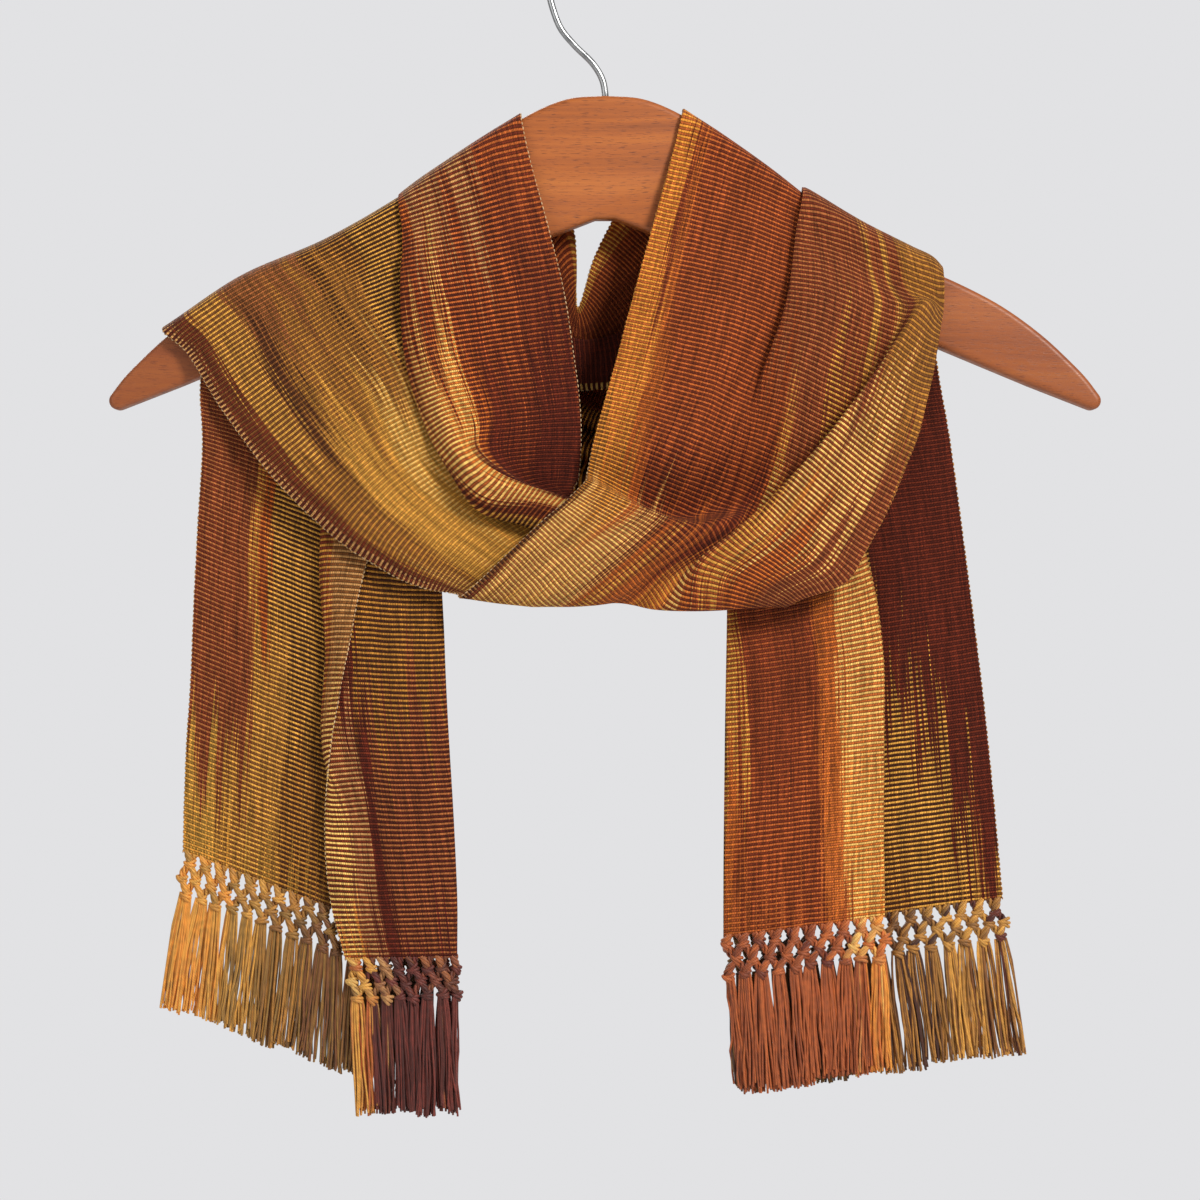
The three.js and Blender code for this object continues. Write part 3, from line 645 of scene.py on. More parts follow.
class Tree:
    """Adds nodes to a node tree in short lines."""

    def __init__(self, tree):
        self.tree = tree

    def wire(self, node, inputs):
        """Links each named or numbered input of a node to a socket, or sets it to a value."""
        for name, value in inputs.items():
            if isinstance(value, bpy.types.NodeSocket):
                self.tree.links.new(value, node.inputs[name])
            else:
                node.inputs[name].default_value = value

    def add(self, kind, inputs=None, **settings):
        node = self.tree.nodes.new(kind)
        for name, value in settings.items():
            setattr(node, name, value)
        self.wire(node, inputs or {})
        return node

    def math(self, operation, a, b=0.0, c=0.0, clamp=False):
        node = self.add("ShaderNodeMath", {0: a, 1: b, 2: c}, operation=operation, use_clamp=clamp)
        return node.outputs[0]

    def times(self, a, b):
        return self.math("MULTIPLY", a, b)

    def mix_colour(self, factor, a, b, blend="MIX"):
        node = self.add("ShaderNodeMix", data_type="RGBA", blend_type=blend)
        self.wire(node, {0: factor, 6: a, 7: b})
        return node.outputs[2]

    def tint(self, colour, level):
        """The colour made lighter or darker by a level."""
        gray = self.add("ShaderNodeCombineColor", {0: level, 1: level, 2: level}).outputs[0]
        return self.mix_colour(1.0, colour, gray, "MULTIPLY")

    def ease(self, value, low, high, to_low=0.0, to_high=1.0):
        node = self.add(
            "ShaderNodeMapRange",
            {"Value": value, "From Min": low, "From Max": high, "To Min": to_low, "To Max": to_high},
            interpolation_type="SMOOTHSTEP",
        )
        return node.outputs[0]

    def point(self, x, y, z=0.0):
        return self.add("ShaderNodeCombineXYZ", {"X": x, "Y": y, "Z": z}).outputs[0]

    def split(self, vector):
        return self.add("ShaderNodeSeparateXYZ", {0: vector}).outputs

    def noise(self, where, scale=1.0, detail=2.0):
        node = self.add("ShaderNodeTexNoise", {"Vector": where, "Scale": scale, "Detail": detail})
        return node.outputs["Fac"]

    def flat_noise(self, x, y, x_scale, y_scale, detail=2.0, z=0.0):
        """Noise that changes faster along one direction than along the other. z picks another pattern."""
        return self.noise(self.point(self.times(x, x_scale), self.times(y, y_scale), z), detail=detail)

    def warp(self):
        """The place in the warp that a mesh carries: across, along and shade."""
        return self.split(self.add("ShaderNodeAttribute", attribute_name="warp").outputs["Vector"])

    def object_place(self):
        return self.add("ShaderNodeTexCoord").outputs["Object"]

    def dye(self, dyes, across, along, shade_value):
        node = self.add("ShaderNodeGroup", node_tree=dyes)
        self.wire(node, {"Across": across, "Along": along, "Shade": shade_value})
        return node.outputs[0]

    def bump(self, height, strength, distance):
        node = self.add("ShaderNodeBump", {"Strength": strength, "Distance": distance, "Height": height})
        return node.outputs[0]


def new_material(name):
    material = bpy.data.materials.new(name)
    material.use_nodes = True
    material.node_tree.nodes.clear()
    tree = Tree(material.node_tree)
    surface = tree.add("ShaderNodeBsdfPrincipled")
    tree.add("ShaderNodeOutputMaterial", {0: surface.outputs[0]})
    return material, tree, surface


# The dyes, as they look on the cloth.
DYES = {
    "maroon": srgb(78, 26, 16),
    "oxblood": srgb(108, 42, 22),
    "wine": srgb(118, 46, 34),
    "russet": srgb(132, 58, 28),
    "rust": srgb(152, 74, 34),
    "copper": srgb(168, 98, 52),
    "brick": srgb(184, 94, 42),
    "orange": srgb(206, 110, 42),
    "amber": srgb(236, 154, 58),
    "gold": srgb(222, 160, 68),
    "straw": srgb(242, 192, 104),
    "sand": srgb(196, 142, 84),
    "ochre": srgb(186, 126, 50),
    "olive": srgb(148, 108, 46),
    "bronze": srgb(124, 74, 34),
    "walnut": srgb(70, 33, 16),
}

# The dye plan: at each station along the warp, given as a stretch and a row of its table, the stripes
# from the gold edge across: millimetres of width, and the dyes of the light and of the dark ribs.
DYE_PLAN = [
    ("end_left", -0.9,
     "10 gold/brick; 62 wine/maroon; 16 olive/walnut; 42 olive/bronze; 24 ochre/olive; "
     "16 gold/olive; 25 amber/gold"),
    ("end_left", 0.9,
     "10 straw/oxblood; 12 sand/oxblood; 7 oxblood/maroon; 52 copper/maroon; 40 bronze/walnut; "
     "26 ochre/walnut; 32 gold/bronze; 16 gold/olive"),
    ("end_left", 2.4,
     "12 straw/oxblood; 12 sand/oxblood; 5 oxblood/maroon; 52 copper/maroon; 66 gold/walnut; "
     "18 gold/bronze; 30 copper/oxblood"),
    ("end_left", 4.4,
     "12 sand/bronze; 10 ochre/oxblood; 5 oxblood/maroon; 50 ochre/walnut; 16 gold/bronze; "
     "16 ochre/walnut; 48 gold/walnut; 6 orange/oxblood; 4 gold/rust; 28 copper/oxblood"),
    ("neck_inner", 4.0,
     "12 gold/rust; 26 brick/oxblood; 55 rust/oxblood; 92 oxblood/maroon; 10 straw/maroon"),
    ("front_right", 1.8,
     "10 amber/brick; 4 rust/oxblood; 5 orange/rust; 69 brick/oxblood; 50 copper/oxblood; "
     "3 gold/bronze; 9 copper/oxblood; 3 gold/bronze; 8 copper/oxblood; 34 ochre/bronze"),
    ("front_right", 4.0,
     "18 amber/brick; 8 orange/rust; 80 brick/oxblood; 4 gold/rust; 14 copper/oxblood; "
     "18 gold/oxblood; 42 straw/russet; 11 copper/oxblood"),
    # At the dip behind the lap, the 52 mm rust/maroon stripe is partly the cloth's dye and partly painted
    # shade of the hollow.
    ("front_right", 5.6,
     "26 amber/bronze; 8 orange/rust; 52 rust/maroon; 22 russet/maroon; 28 straw/russet; "
     "18 gold/rust; 20 orange/oxblood; 21 copper/oxblood"),
    ("front_right", 7.8,
     "3 bronze/walnut; 52 straw/copper; 6 orange/rust; 12 gold/rust; 24 orange/rust; "
     "22 amber/brick; 18 orange/oxblood; 32 brick/oxblood; 26 copper/oxblood"),
    ("front_left", 1.6,
     "3 sand/maroon; 6 bronze/oxblood; 14 ochre/bronze; 62 gold/ochre; 20 gold/walnut; "
     "12 rust/maroon; 12 straw/brick; 66 oxblood/maroon"),
    ("front_left", 3.6,
     "3 sand/maroon; 7 bronze/oxblood; 18 ochre/bronze; 26 gold/ochre; 28 straw/ochre; "
     "27 gold/oxblood; 4 brick/maroon; 17 straw/rust; 12 straw/orange; 6 orange/oxblood; "
     "22 russet/maroon; 25 oxblood/maroon"),
    ("front_left", 5.8,
     "3 sand/maroon; 7 bronze/oxblood; 14 gold/bronze; 10 bronze/walnut; 40 ochre/bronze; "
     "42 gold/walnut; 24 brick/maroon; 3 straw/rust; 30 brick/maroon; 22 rust/maroon"),
    ("front_left", 8.6,
     "3 sand/maroon; 7 bronze/oxblood; 16 gold/bronze; 34 copper/bronze; 20 ochre/walnut; "
     "38 gold/walnut; 16 orange/oxblood; 36 sand/oxblood; 25 brick/oxblood"),
    ("neck_outer", 4.0, "98 gold/walnut; 56 ochre/walnut; 41 rust/oxblood"),
    ("end_right", 2.6,
     "78 oxblood/maroon; 44 bronze/walnut; 12 ochre/rust; 32 russet/oxblood; 9 orange/rust; "
     "20 straw/brick"),
    ("end_right", 4.2,
     "60 oxblood/maroon; 4 russet/maroon; 14 gold/walnut; 44 olive/walnut; 10 gold/rust; "
     "33 rust/oxblood; 10 orange/rust; 20 straw/brick"),
    ("end_right", 5.2,
     "44 oxblood/maroon; 4 russet/maroon; 30 gold/walnut; 44 olive/walnut; 10 gold/rust; "
     "33 rust/oxblood; 10 orange/rust; 20 straw/brick"),
    ("end_right", 6.0,
     "28 oxblood/maroon; 4 russet/maroon; 36 gold/walnut; 54 olive/walnut; 10 gold/rust; "
     "33 rust/oxblood; 10 orange/rust; 20 straw/brick"),
    ("end_right", 6.8,
     "14 oxblood/maroon; 4 russet/maroon; 42 gold/walnut; 62 olive/walnut; 8 orange/rust; "
     "37 brick/oxblood; 9 orange/brick; 19 straw/orange"),
    ("end_right", 7.6,
     "6 oxblood/maroon; 4 russet/maroon; 44 gold/walnut; 68 olive/walnut; 6 orange/rust; "
     "40 brick/oxblood; 9 orange/brick; 18 straw/orange"),
    ("end_right", 9.0, "30 gold/bronze; 30 ochre/walnut; 62 olive/walnut; 64 brick/rust; 9 amber/orange"),
]

# Feathered borders, in millimetres: how far yarns stray sideways, and how far the warp slips lengthwise,
# yarn by yarn and in broad bands.
YARN_STRAY = 20
FINE_SLIP = 190
BROAD_SLIP = 120
# A change from one station to the next takes this share of the way between them to each side, or more.
CHANGE_SHARE = 0.22
CHANGE_LEAST = 5
# Rows past a fringe line count this many millimetres a cell.
FRINGE_CELL = 3


def stripes_of(text):
    """The stripes of one station, each as its width, its light dye and its dark dye."""
    stripes = []
    for item in text.split("; "):
        width, pair = item.split(" ")
        light, dark = pair.split("/")
        stripes.append((float(width), DYES[light], DYES[dark]))
    return stripes


def station_along(stretch, row):
    """How far along the warp a station lies. Rows past either fringe line lie in the fringe."""
    place = (first_section_of(stretch) + row) * CELLS_PER_ROW
    last = len(along_mm) - 1
    if place < 0:
        return place * FRINGE_CELL
    if place > last:
        return cloth_length + (place - last) * FRINGE_CELL
    return float(along_mm[int(round(place))].mean())


def stripe_ramp(tree, share, stripes, column):
    """One station's dyes across the cloth, for the light ribs (column 1) or the dark ribs (column 2)."""
    ramp = tree.add("ShaderNodeValToRGB", {0: share})
    ramp.color_ramp.interpolation = "CONSTANT"
    stops = ramp.color_ramp.elements
    total = sum(stripe[0] for stripe in stripes)
    start = 0.0
    for k, stripe in enumerate(stripes):
        stop = stops[k] if k < 2 else stops.new(start / total)
        stop.position = start / total
        stop.color = stripe[column]
        start += stripe[0]
    return ramp.outputs[0]


def dye_group():
    """A node group: the dye at a place in the warp. Shade picks between the light and the dark ribs."""
    group = bpy.data.node_groups.new("dye plan", "ShaderNodeTree")
    for name in ("Across", "Along", "Shade"):
        group.interface.new_socket(name=name, in_out="INPUT", socket_type="NodeSocketFloat")
    group.interface.new_socket(name="Dye", in_out="OUTPUT", socket_type="NodeSocketColor")
    tree = Tree(group)
    across, along, shade_value = tree.add("NodeGroupInput").outputs[:3]
    fine = tree.flat_noise(across, along, 1.1, 0.012, detail=3)
    broad = tree.flat_noise(across, along, 0.16, 0.008, detail=1, z=7)
    stray = tree.math("MULTIPLY_ADD", tree.math("SUBTRACT", fine, 0.5), YARN_STRAY, across)
    share = tree.math("DIVIDE", stray, CLOTH_WIDTH, clamp=True)
    slip = tree.times(tree.math("SUBTRACT", fine, 0.5), FINE_SLIP)
    slip = tree.math("MULTIPLY_ADD", tree.math("SUBTRACT", broad, 0.5), BROAD_SLIP, slip)
    slipped = tree.math("ADD", along, slip)
    colour = None
    last_place = None
    for stretch, row, text in DYE_PLAN:
        stripes = stripes_of(text)
        light, dark = (stripe_ramp(tree, share, stripes, column) for column in (1, 2))
        here = tree.mix_colour(shade_value, dark, light)
        place = station_along(stretch, row)
        if colour is None:
            colour = here
        else:
            middle = (last_place + place) / 2
            half = max((place - last_place) * CHANGE_SHARE, CHANGE_LEAST)
            colour = tree.mix_colour(tree.ease(slipped, middle - half, middle + half), colour, here)
        last_place = place
    tree.add("NodeGroupOutput", {0: colour})
    return group


def woven_cloth(dyes):
    """Ribbed cloth: light and dark ribs across, made of warp yarns side by side."""
    material, tree, surface = new_material("hand-woven cloth")
    across, along, _ = tree.warp()
    wobble = tree.flat_noise(across, along, 0.09, 0.05)
    rib_phase = tree.math("MULTIPLY_ADD", wobble, 2.4, tree.times(along, 2 * math.pi / RIB_PAIR))
    rib = tree.math("SINE", rib_phase)
    dye = tree.dye(dyes, across, along, tree.ease(rib, -0.25, 0.55))
    # Yarns side by side: those of one rib lie between those of the next.
    half_step = tree.times(tree.math("GREATER_THAN", rib, 0.0), 0.5)
    yarn_count = tree.math("ADD", tree.times(across, 1 / YARN_PITCH), half_step)
    yarn = tree.math("ABSOLUTE", tree.math("SINE", tree.times(yarn_count, math.pi)))
    groove = tree.math("ABSOLUTE", rib)
    # Each float of a yarn over a rib is a little lighter or darker than the next.
    rib_count = tree.math("FLOOR", tree.times(rib_phase, 1 / math.pi))
    float_place = tree.point(tree.math("FLOOR", yarn_count), rib_count)
    speckle = tree.add("ShaderNodeTexWhiteNoise", {"Vector": float_place}, noise_dimensions="2D")
    # Single yarns are lighter or darker for part of their length, and so are broad bands.
    streak = tree.flat_noise(across, along, 1.33, 0.05, detail=1, z=3)
    broad = tree.flat_noise(across, along, 0.25, 0.01, detail=2, z=5)
    level = tree.times(tree.ease(streak, 0.3, 0.7, 0.72, 1.26), tree.ease(broad, 0.3, 0.7, 0.84, 1.14))
    level = tree.times(level, tree.ease(speckle.outputs["Value"], 0.0, 1.0, 0.84, 1.2))
    # Between yarns and in the grooves between ribs the colour is darkened: painted shade in the gaps.
    level = tree.times(level, tree.ease(yarn, 0.0, 0.8, 0.5, 1.16))
    level = tree.times(level, tree.ease(groove, 0.0, 0.6, 0.6, 1.06))
    height = tree.math("MULTIPLY_ADD", tree.ease(groove, 0.0, 0.9), 0.7, tree.times(yarn, 0.35))
    tree.wire(surface, {
        "Base Color": tree.tint(dye, level),
        "Normal": tree.bump(height, strength=0.9, distance=0.0005),
        "Roughness": 0.72,
        "Sheen Weight": 0.02,
        "Sheen Roughness": 0.45,
        "Specular IOR Level": 0.16,
    })
    return material


def plied_yarn(dyes):
    """Fringe yarn: the dye where it leaves the cloth, with the plies' slant as fine painted light and
    shade.
    """
    material, tree, surface = new_material("plied yarn")
    dye = tree.dye(dyes, *tree.warp())
    where = tree.object_place()
    x, _, z = tree.split(where)
    slant = tree.math("ADD", tree.times(z, 5200), tree.times(x, 5200))
    # The plies' slant: painted light and shade along the twist, also used as a bump.
    ply = tree.ease(tree.math("SINE", slant), -1, 1, 0.8, 1.1)
    mottle = tree.noise(where, scale=420.0, detail=1.0)
    level = tree.times(ply, tree.ease(mottle, 0.3, 0.7, 0.84, 1.16))
    tree.wire(surface, {
        "Base Color": tree.tint(dye, level),
        "Normal": tree.bump(ply, strength=0.4, distance=0.0001),
        "Roughness": 0.55,
        "Sheen Weight": 0.15,
    })
    return material


def oiled_wood():
    """Orange-brown hardwood with straight grain along the board and short dark pores."""
    material, tree, surface = new_material("oiled wood")
    x, y, z = tree.split(tree.object_place())
    lift = tree.math("MULTIPLY_ADD", tree.flat_noise(x, y, 7, 3), 0.012, z)
    grain = tree.flat_noise(x, lift, 9, 420, detail=4, z=1)
    figure = tree.flat_noise(x, lift, 4, 60, detail=2, z=4)
    pores = tree.flat_noise(x, lift, 190, 2600, detail=2, z=9)
    blend = tree.math("MULTIPLY_ADD", figure, 0.55, tree.times(grain, 0.45))
    ramp = tree.add("ShaderNodeValToRGB", {0: blend})
    stops = ramp.color_ramp.elements
    stops[0].position, stops[0].color = 0.3, srgb(140, 72, 30)
    stops[1].position, stops[1].color = 0.72, srgb(206, 122, 56)
    stops.new(0.5).color = srgb(180, 98, 42)
    dark = tree.ease(pores, 0.57, 0.68, 0.0, 0.75)
    colour = tree.mix_colour(dark, ramp.outputs[0], srgb(96, 44, 24))
    # Towards its ends the wood is darkened: painted shade where less light reaches the arms.
    painted_end_shade = tree.ease(tree.math("ABSOLUTE", x), 0.08, 0.21, 0.0, 0.55)
    height = tree.math("SUBTRACT", tree.times(grain, 0.3), dark)
    tree.wire(surface, {
        "Base Color": tree.mix_colour(painted_end_shade, colour, srgb(126, 60, 30)),
        "Normal": tree.bump(height, strength=0.25, distance=0.0003),
        "Roughness": tree.ease(grain, 0.3, 0.7, 0.52, 0.4),
        "Coat Weight": 0.08,
        "Coat Roughness": 0.35,
    })
    return material


def steel_wire():
    """Drawn steel wire, with faint scuffs along it."""
    material, tree, surface = new_material("steel wire")
    scuffs = tree.noise(tree.object_place(), scale=320.0, detail=3.0)
    tree.wire(surface, {
        "Base Color": tree.mix_colour(scuffs, srgb(150, 152, 155), srgb(206, 208, 210)),
        "Roughness": tree.ease(scuffs, 0.3, 0.7, 0.22, 0.38),
        "Metallic": 1.0,
    })
    return material


def selvedge_yarn():
    """The weft where it turns round the outermost warp, pale on the left half and golden on the right."""
    material, tree, surface = new_material("selvedge yarn")
    where = tree.object_place()
    mottle = tree.noise(where, scale=260.0, detail=2.0)
    pale = tree.mix_colour(mottle, srgb(168, 122, 76), srgb(240, 212, 166))
    golden = tree.mix_colour(mottle, srgb(112, 62, 28), srgb(204, 142, 60))
    side = tree.ease(tree.split(where)[0], -0.008, -0.004)
    tree.wire(surface, {"Base Color": tree.mix_colour(side, pale, golden), "Roughness": 0.8})
    return material


# ---- geometry trees -----------------------------------------------------------------------------------
def geometry_tree(name, inputs):
    group = bpy.data.node_groups.new(name, "GeometryNodeTree")
    group.interface.new_socket(name="Geometry", in_out="INPUT", socket_type="NodeSocketGeometry")
    for label, kind in inputs.items():
        group.interface.new_socket(name=label, in_out="INPUT", socket_type=kind)
    group.interface.new_socket(name="Geometry", in_out="OUTPUT", socket_type="NodeSocketGeometry")
    tree = Tree(group)
    return group, tree, tree.add("NodeGroupInput").outputs


def finish_tree(tree, given, geometry):
    real = tree.add("GeometryNodeRealizeInstances", {"Geometry": geometry}).outputs[0]
    coloured = tree.add("GeometryNodeSetMaterial", {"Geometry": real, "Material": given["Material"]})
    tree.add("NodeGroupOutput", {0: coloured.outputs[0]})


def yarn_tree():
    """Round yarns along every line of the mesh."""
    group, tree, given = geometry_tree(
        "yarns along lines",
        {"Radius": "NodeSocketFloat", "Sides": "NodeSocketInt", "Material": "NodeSocketMaterial"},
    )
    lines = tree.add("GeometryNodeMeshToCurve", {"Mesh": given["Geometry"]}).outputs[0]
    ring = tree.add(
        "GeometryNodeCurvePrimitiveCircle", {"Resolution": given["Sides"], "Radius": given["Radius"]}
    ).outputs[0]
    yarns = tree.add("GeometryNodeCurveToMesh", {"Curve": lines, "Profile Curve": ring, "Fill Caps": True})
    finish_tree(tree, given, yarns.outputs[0])
    return group


def beads_tree():
    """A small bead at an even pitch along every line, turned to follow it."""
    group, tree, given = geometry_tree(
        "weft turns along an edge",
        {
            "Pitch": "NodeSocketFloat",
            "Bead Length": "NodeSocketFloat",
            "Bead Radius": "NodeSocketFloat",
            "Seed": "NodeSocketInt",
            "Material": "NodeSocketMaterial",
        },
    )
    lines = tree.add("GeometryNodeMeshToCurve", {"Mesh": given["Geometry"]}).outputs[0]
    spots = tree.add("GeometryNodeCurveToPoints", {"Curve": lines, "Length": given["Pitch"]}, mode="LENGTH")
    bead = tree.add("GeometryNodeMeshUVSphere", {"Segments": 6, "Rings": 5, "Radius": given["Bead Radius"]})
    stretch = tree.math("DIVIDE", given["Bead Length"], tree.times(given["Bead Radius"], 2.0))
    smallest, largest = BEAD_SIZES
    chance = tree.add(
        "FunctionNodeRandomValue", {2: smallest, 3: largest, "Seed": given["Seed"]}, data_type="FLOAT"
    ).outputs[1]
    placed = tree.add(
        "GeometryNodeInstanceOnPoints",
        {
            "Points": spots.outputs["Points"],
            "Instance": bead.outputs[0],
            "Rotation": spots.outputs["Rotation"],
            "Scale": tree.point(chance, chance, tree.times(stretch, chance)),
        },
    ).outputs[0]
    finish_tree(tree, given, placed)
    return group


def grow(obj, group, **values):
    """Runs a geometry tree on an object with its named inputs, and keeps the plain mesh."""
    modifier = obj.modifiers.new(group.name, "NODES")
    modifier.node_group = group
    for socket in group.interface.items_tree:
        name = socket.name.replace(" ", "_").lower()
        if socket.in_out == "INPUT" and name in values:
            modifier[socket.identifier] = values[name]
    settle(obj)
    obj.data.shade_smooth()
    return obj


# ---- the pieces ---------------------------------------------------------------------------------------
def scarf_cloth(material):
    """The whole length of cloth as one thin closed shell on the ribbon's surface."""
    rows, columns = across_mm.shape
    layer = rows * columns
    offset = normals * (CLOTH_THICKNESS / 2)
    vertices = np.concatenate([(grid + offset).reshape(-1, 3), (grid - offset).reshape(-1, 3)])
    place = np.stack([across_mm, along_mm, np.zeros_like(across_mm)], axis=-1).reshape(-1, 3)
    i, j = np.meshgrid(np.arange(rows - 1), np.arange(columns - 1), indexing="ij")
    a = (i * columns + j).ravel()
    front = np.stack([a, a + 1, a + columns + 1, a + columns], axis=-1)
    back = front[:, ::-1] + layer
    around = np.concatenate([
        np.arange(rows) * columns,
        (rows - 1) * columns + np.arange(1, columns),
        np.arange(rows - 2, -1, -1) * columns + columns - 1,
        np.arange(columns - 2, -1, -1),
    ])
    rim = np.stack([around[:-1], around[1:], around[1:] + layer, around[:-1] + layer], axis=-1)
    faces = [tuple(map(int, face)) for face in np.concatenate([front, back, rim])]
    cloth = mesh_object("scarf_cloth", vertices, faces, warp=np.concatenate([place, place]))
    shade(cloth, material, sharp_degrees=60)
    return cloth


def weft_turns(name, edge, inner, seed, group, material):
    """Pale turns of the weft along one selvedge, from its column of the grid and the next one in."""
    line = grid[:, edge] + unit(grid[:, edge] - grid[:, inner]) * WEFT_TURN["outset"]
    turns = mesh_object(name, line, edges=[(k, k + 1) for k in range(len(line) - 1)])
    return grow(
        turns,
        group,
        pitch=RIB_PAIR * MM,
        bead_length=WEFT_TURN["length"] * MM,
        bead_radius=WEFT_TURN["radius"] * MM,
        seed=seed,
        material=material,
    )


class FringeSheet:
    """The surface a fringe hangs in: share runs across the end of the cloth, and depth down from it."""

    def __init__(self, end, lean):
        self.line = grid[end]
        self.before = grid[1 if end == 0 else -2]
        self.normal = normals[end]
        self.across = across_mm[end]
        self.along_end = 0 if end == 0 else cloth_length
        self.sign = -1 if end == 0 else 1
        self.lean = lean

    def at(self, share, depth, out=0.0):
        """A point: first onward as the cloth runs, then straight down with the fringe's own lean."""
        place = float(np.interp(share * CLOTH_WIDTH, self.across, np.arange(len(self.across))))
        j = min(int(max(place, 0)), len(self.line) - 2)
        t = place - j
        base = mix(self.line[j], self.line[j + 1], t)
        onward = unit(base - mix(self.before[j], self.before[j + 1], t))
        start = min(depth, FRINGE_START)
        drift = mix(self.lean[0], self.lean[1], share) * depth / FRINGE_LENGTH
        return base + onward * start + np.array([drift, 0, -(depth - start)]) + self.normal[j] * out

    def warp(self, share, depth, shade_value):
        return (min(max(share, 0), 1) * CLOTH_WIDTH, self.along_end + self.sign * depth, shade_value)


class Lines:
    """Many polylines with their places in the warp, gathered into one mesh."""

    def __init__(self):
        self.vertices, self.edges, self.warp = [], [], []

    def add(self, points, warp=(0, 0, 0)):
        first = len(self.vertices)
        self.vertices.extend(points)
        self.warp.extend([warp] * len(points))
        self.edges.extend((k, k + 1) for k in range(first, first + len(points) - 1))

    def build(self, name, tree, yarn, material):
        obj = mesh_object(name, self.vertices, edges=self.edges, warp=self.warp)
        return grow(obj, tree, radius=yarn["radius"] * MM, sides=yarn["sides"], material=material)


def leg(lines, sheet, start, end, rng, bow):
    """The plies of one warp bundle, side by side and lightly twisted, from one place to another."""
    side = 1 if end[0] > start[0] else -1
    phase = rng.uniform(0, math.pi)
    colour = rng.uniform(0.0, 1.0)
    for ply in range(LEG_PLIES):
        points = []
        for k in range(FRINGE_STEPS + 1):
            t = k / FRINGE_STEPS
            swell = math.sin(math.pi * t)
            angle = phase + ply * LEG_PLY_TURN + t * LEG_TWIST
            reach = 0.75 + 0.5 * swell
            aside = side * bow * swell + reach * math.sin(angle)
            out = reach * math.cos(angle) + 0.7 * side * swell
            share = mix(start[0], end[0], t) + aside / CLOTH_WIDTH
            points.append(sheet.at(share, mix(start[1], end[1], t), out))
        shade_value = min(max(colour + rng.uniform(-0.4, 0.4), 0), 1)
        lines.add(points, sheet.warp(start[0], LEG_DYE_DEPTH, shade_value))


def tassel(lines, sheet, share, rng):
    """The loose yarns below a knot, bunched at the top and opening towards the tips."""
    top = KNOT_ROW_DEPTHS[-1]
    sway = rng.uniform(-TASSEL_SWAY, TASSEL_SWAY)
    wide = rng.uniform(*TASSEL_OPENING)
    long = rng.uniform(-TASSEL_LENGTH_JITTER, TASSEL_LENGTH_JITTER)
    for _ in range(TASSEL_YARNS):
        side, out = rng.uniform(-1, 1), rng.uniform(-1, 1)
        tip = FRINGE_LENGTH + long - abs(rng.gauss(0, TASSEL_TIP_SCATTER))
        wave, phase, turns = rng.uniform(0.3, 1.2), rng.uniform(0, 6), rng.uniform(3, 9)
        points = []
        for k in range(FRINGE_STEPS + 1):
            t = k / FRINGE_STEPS
            curl = wave * math.sin(phase + t * turns) * t**0.5
            aside = side * (TASSEL_TOP + wide * t**0.7) + sway * t + curl
            ahead = out * (0.7 + 1.4 * t) + curl * 0.7
            points.append(sheet.at(share + aside / CLOTH_WIDTH, mix(top, tip, t), ahead))
        root = share + side * 0.5 / TASSELS_PER_END
        lines.add(points, sheet.warp(root, TASSEL_DYE_DEPTH, rng.uniform(-0.2, 1.2)))


def knot_turns():
    """One knot: turns of yarn drawn tight over each other, wider than it is high."""
    turns = []
    for turn in KNOT_TURNS:
        points = []
        for k in range(KNOT_STEPS + 1):
            angle = 2 * math.pi * k / KNOT_STEPS
            across = turn["reach"] * math.cos(angle)
            up = turn["rise"] + turn["tilt"] * across
            points.append(Vector((across, turn["thick"] * math.sin(angle), up)))
        turns.append(points)
    return turns


def fringe(name, end, lean, seed, tree, material):
    """The knotted fringe of one end: legs, three rows of knots and tassels."""
    rng = random.Random(seed)
    sheet = FringeSheet(end, lean)
    legs, yarns, knots = Lines(), Lines(), Lines()

    def jitter(amount):
        return rng.uniform(-amount, amount)

    # Knots of one row hang between those of the next.
    rows = []
    for row, depth in enumerate(KNOT_ROW_DEPTHS):
        places = [k + 0.5 for k in range(TASSELS_PER_END)] if row % 2 == 0 else range(TASSELS_PER_END + 1)
        shares = [min(max(k / TASSELS_PER_END, KNOT_SHARES[0]), KNOT_SHARES[1]) for k in places]
        shares = [share + jitter(KNOT_SHARE_JITTER) for share in shares]
        rows.append([(share, depth + jitter(KNOT_DEPTH_JITTER)) for share in shares])
    upper, crossing, lower = rows
    for k, knot in enumerate(upper):
        for root in LEG_ROOTS:
            leg(legs, sheet, ((k + root) / TASSELS_PER_END, LEG_ROOT_DEPTH), knot, rng, BOW_AT_CLOTH)
        leg(legs, sheet, knot, crossing[k], rng, BOW_AT_KNOTS)
        leg(legs, sheet, knot, crossing[k + 1], rng, BOW_AT_KNOTS)
    for k, knot in enumerate(lower):
        leg(legs, sheet, crossing[k], knot, rng, BOW_AT_KNOTS)
        leg(legs, sheet, crossing[k + 1], knot, rng, BOW_AT_KNOTS)
        tassel(yarns, sheet, knot[0], rng)
    turns = knot_turns()
    for share, depth in upper + crossing + lower:
        middle = Vector(sheet.at(share, depth))
        turn = Matrix.Rotation(jitter(KNOT_TILT), 3, "Y") @ Matrix.Rotation(jitter(KNOT_LEAN), 3, "X")
        size = rng.uniform(*KNOT_SIZES)
        warp = sheet.warp(share, KNOT_DYE_DEPTH, rng.uniform(0, 1))
        for points in turns:
            knots.add([tuple(middle + (turn @ point) * size) for point in points], warp)
    return [
        lines.build(f"{name}_{part}", tree, FRINGE_YARNS[part], material)
        for part, lines in (("legs", legs), ("knots", knots), ("tassels", yarns))
    ]


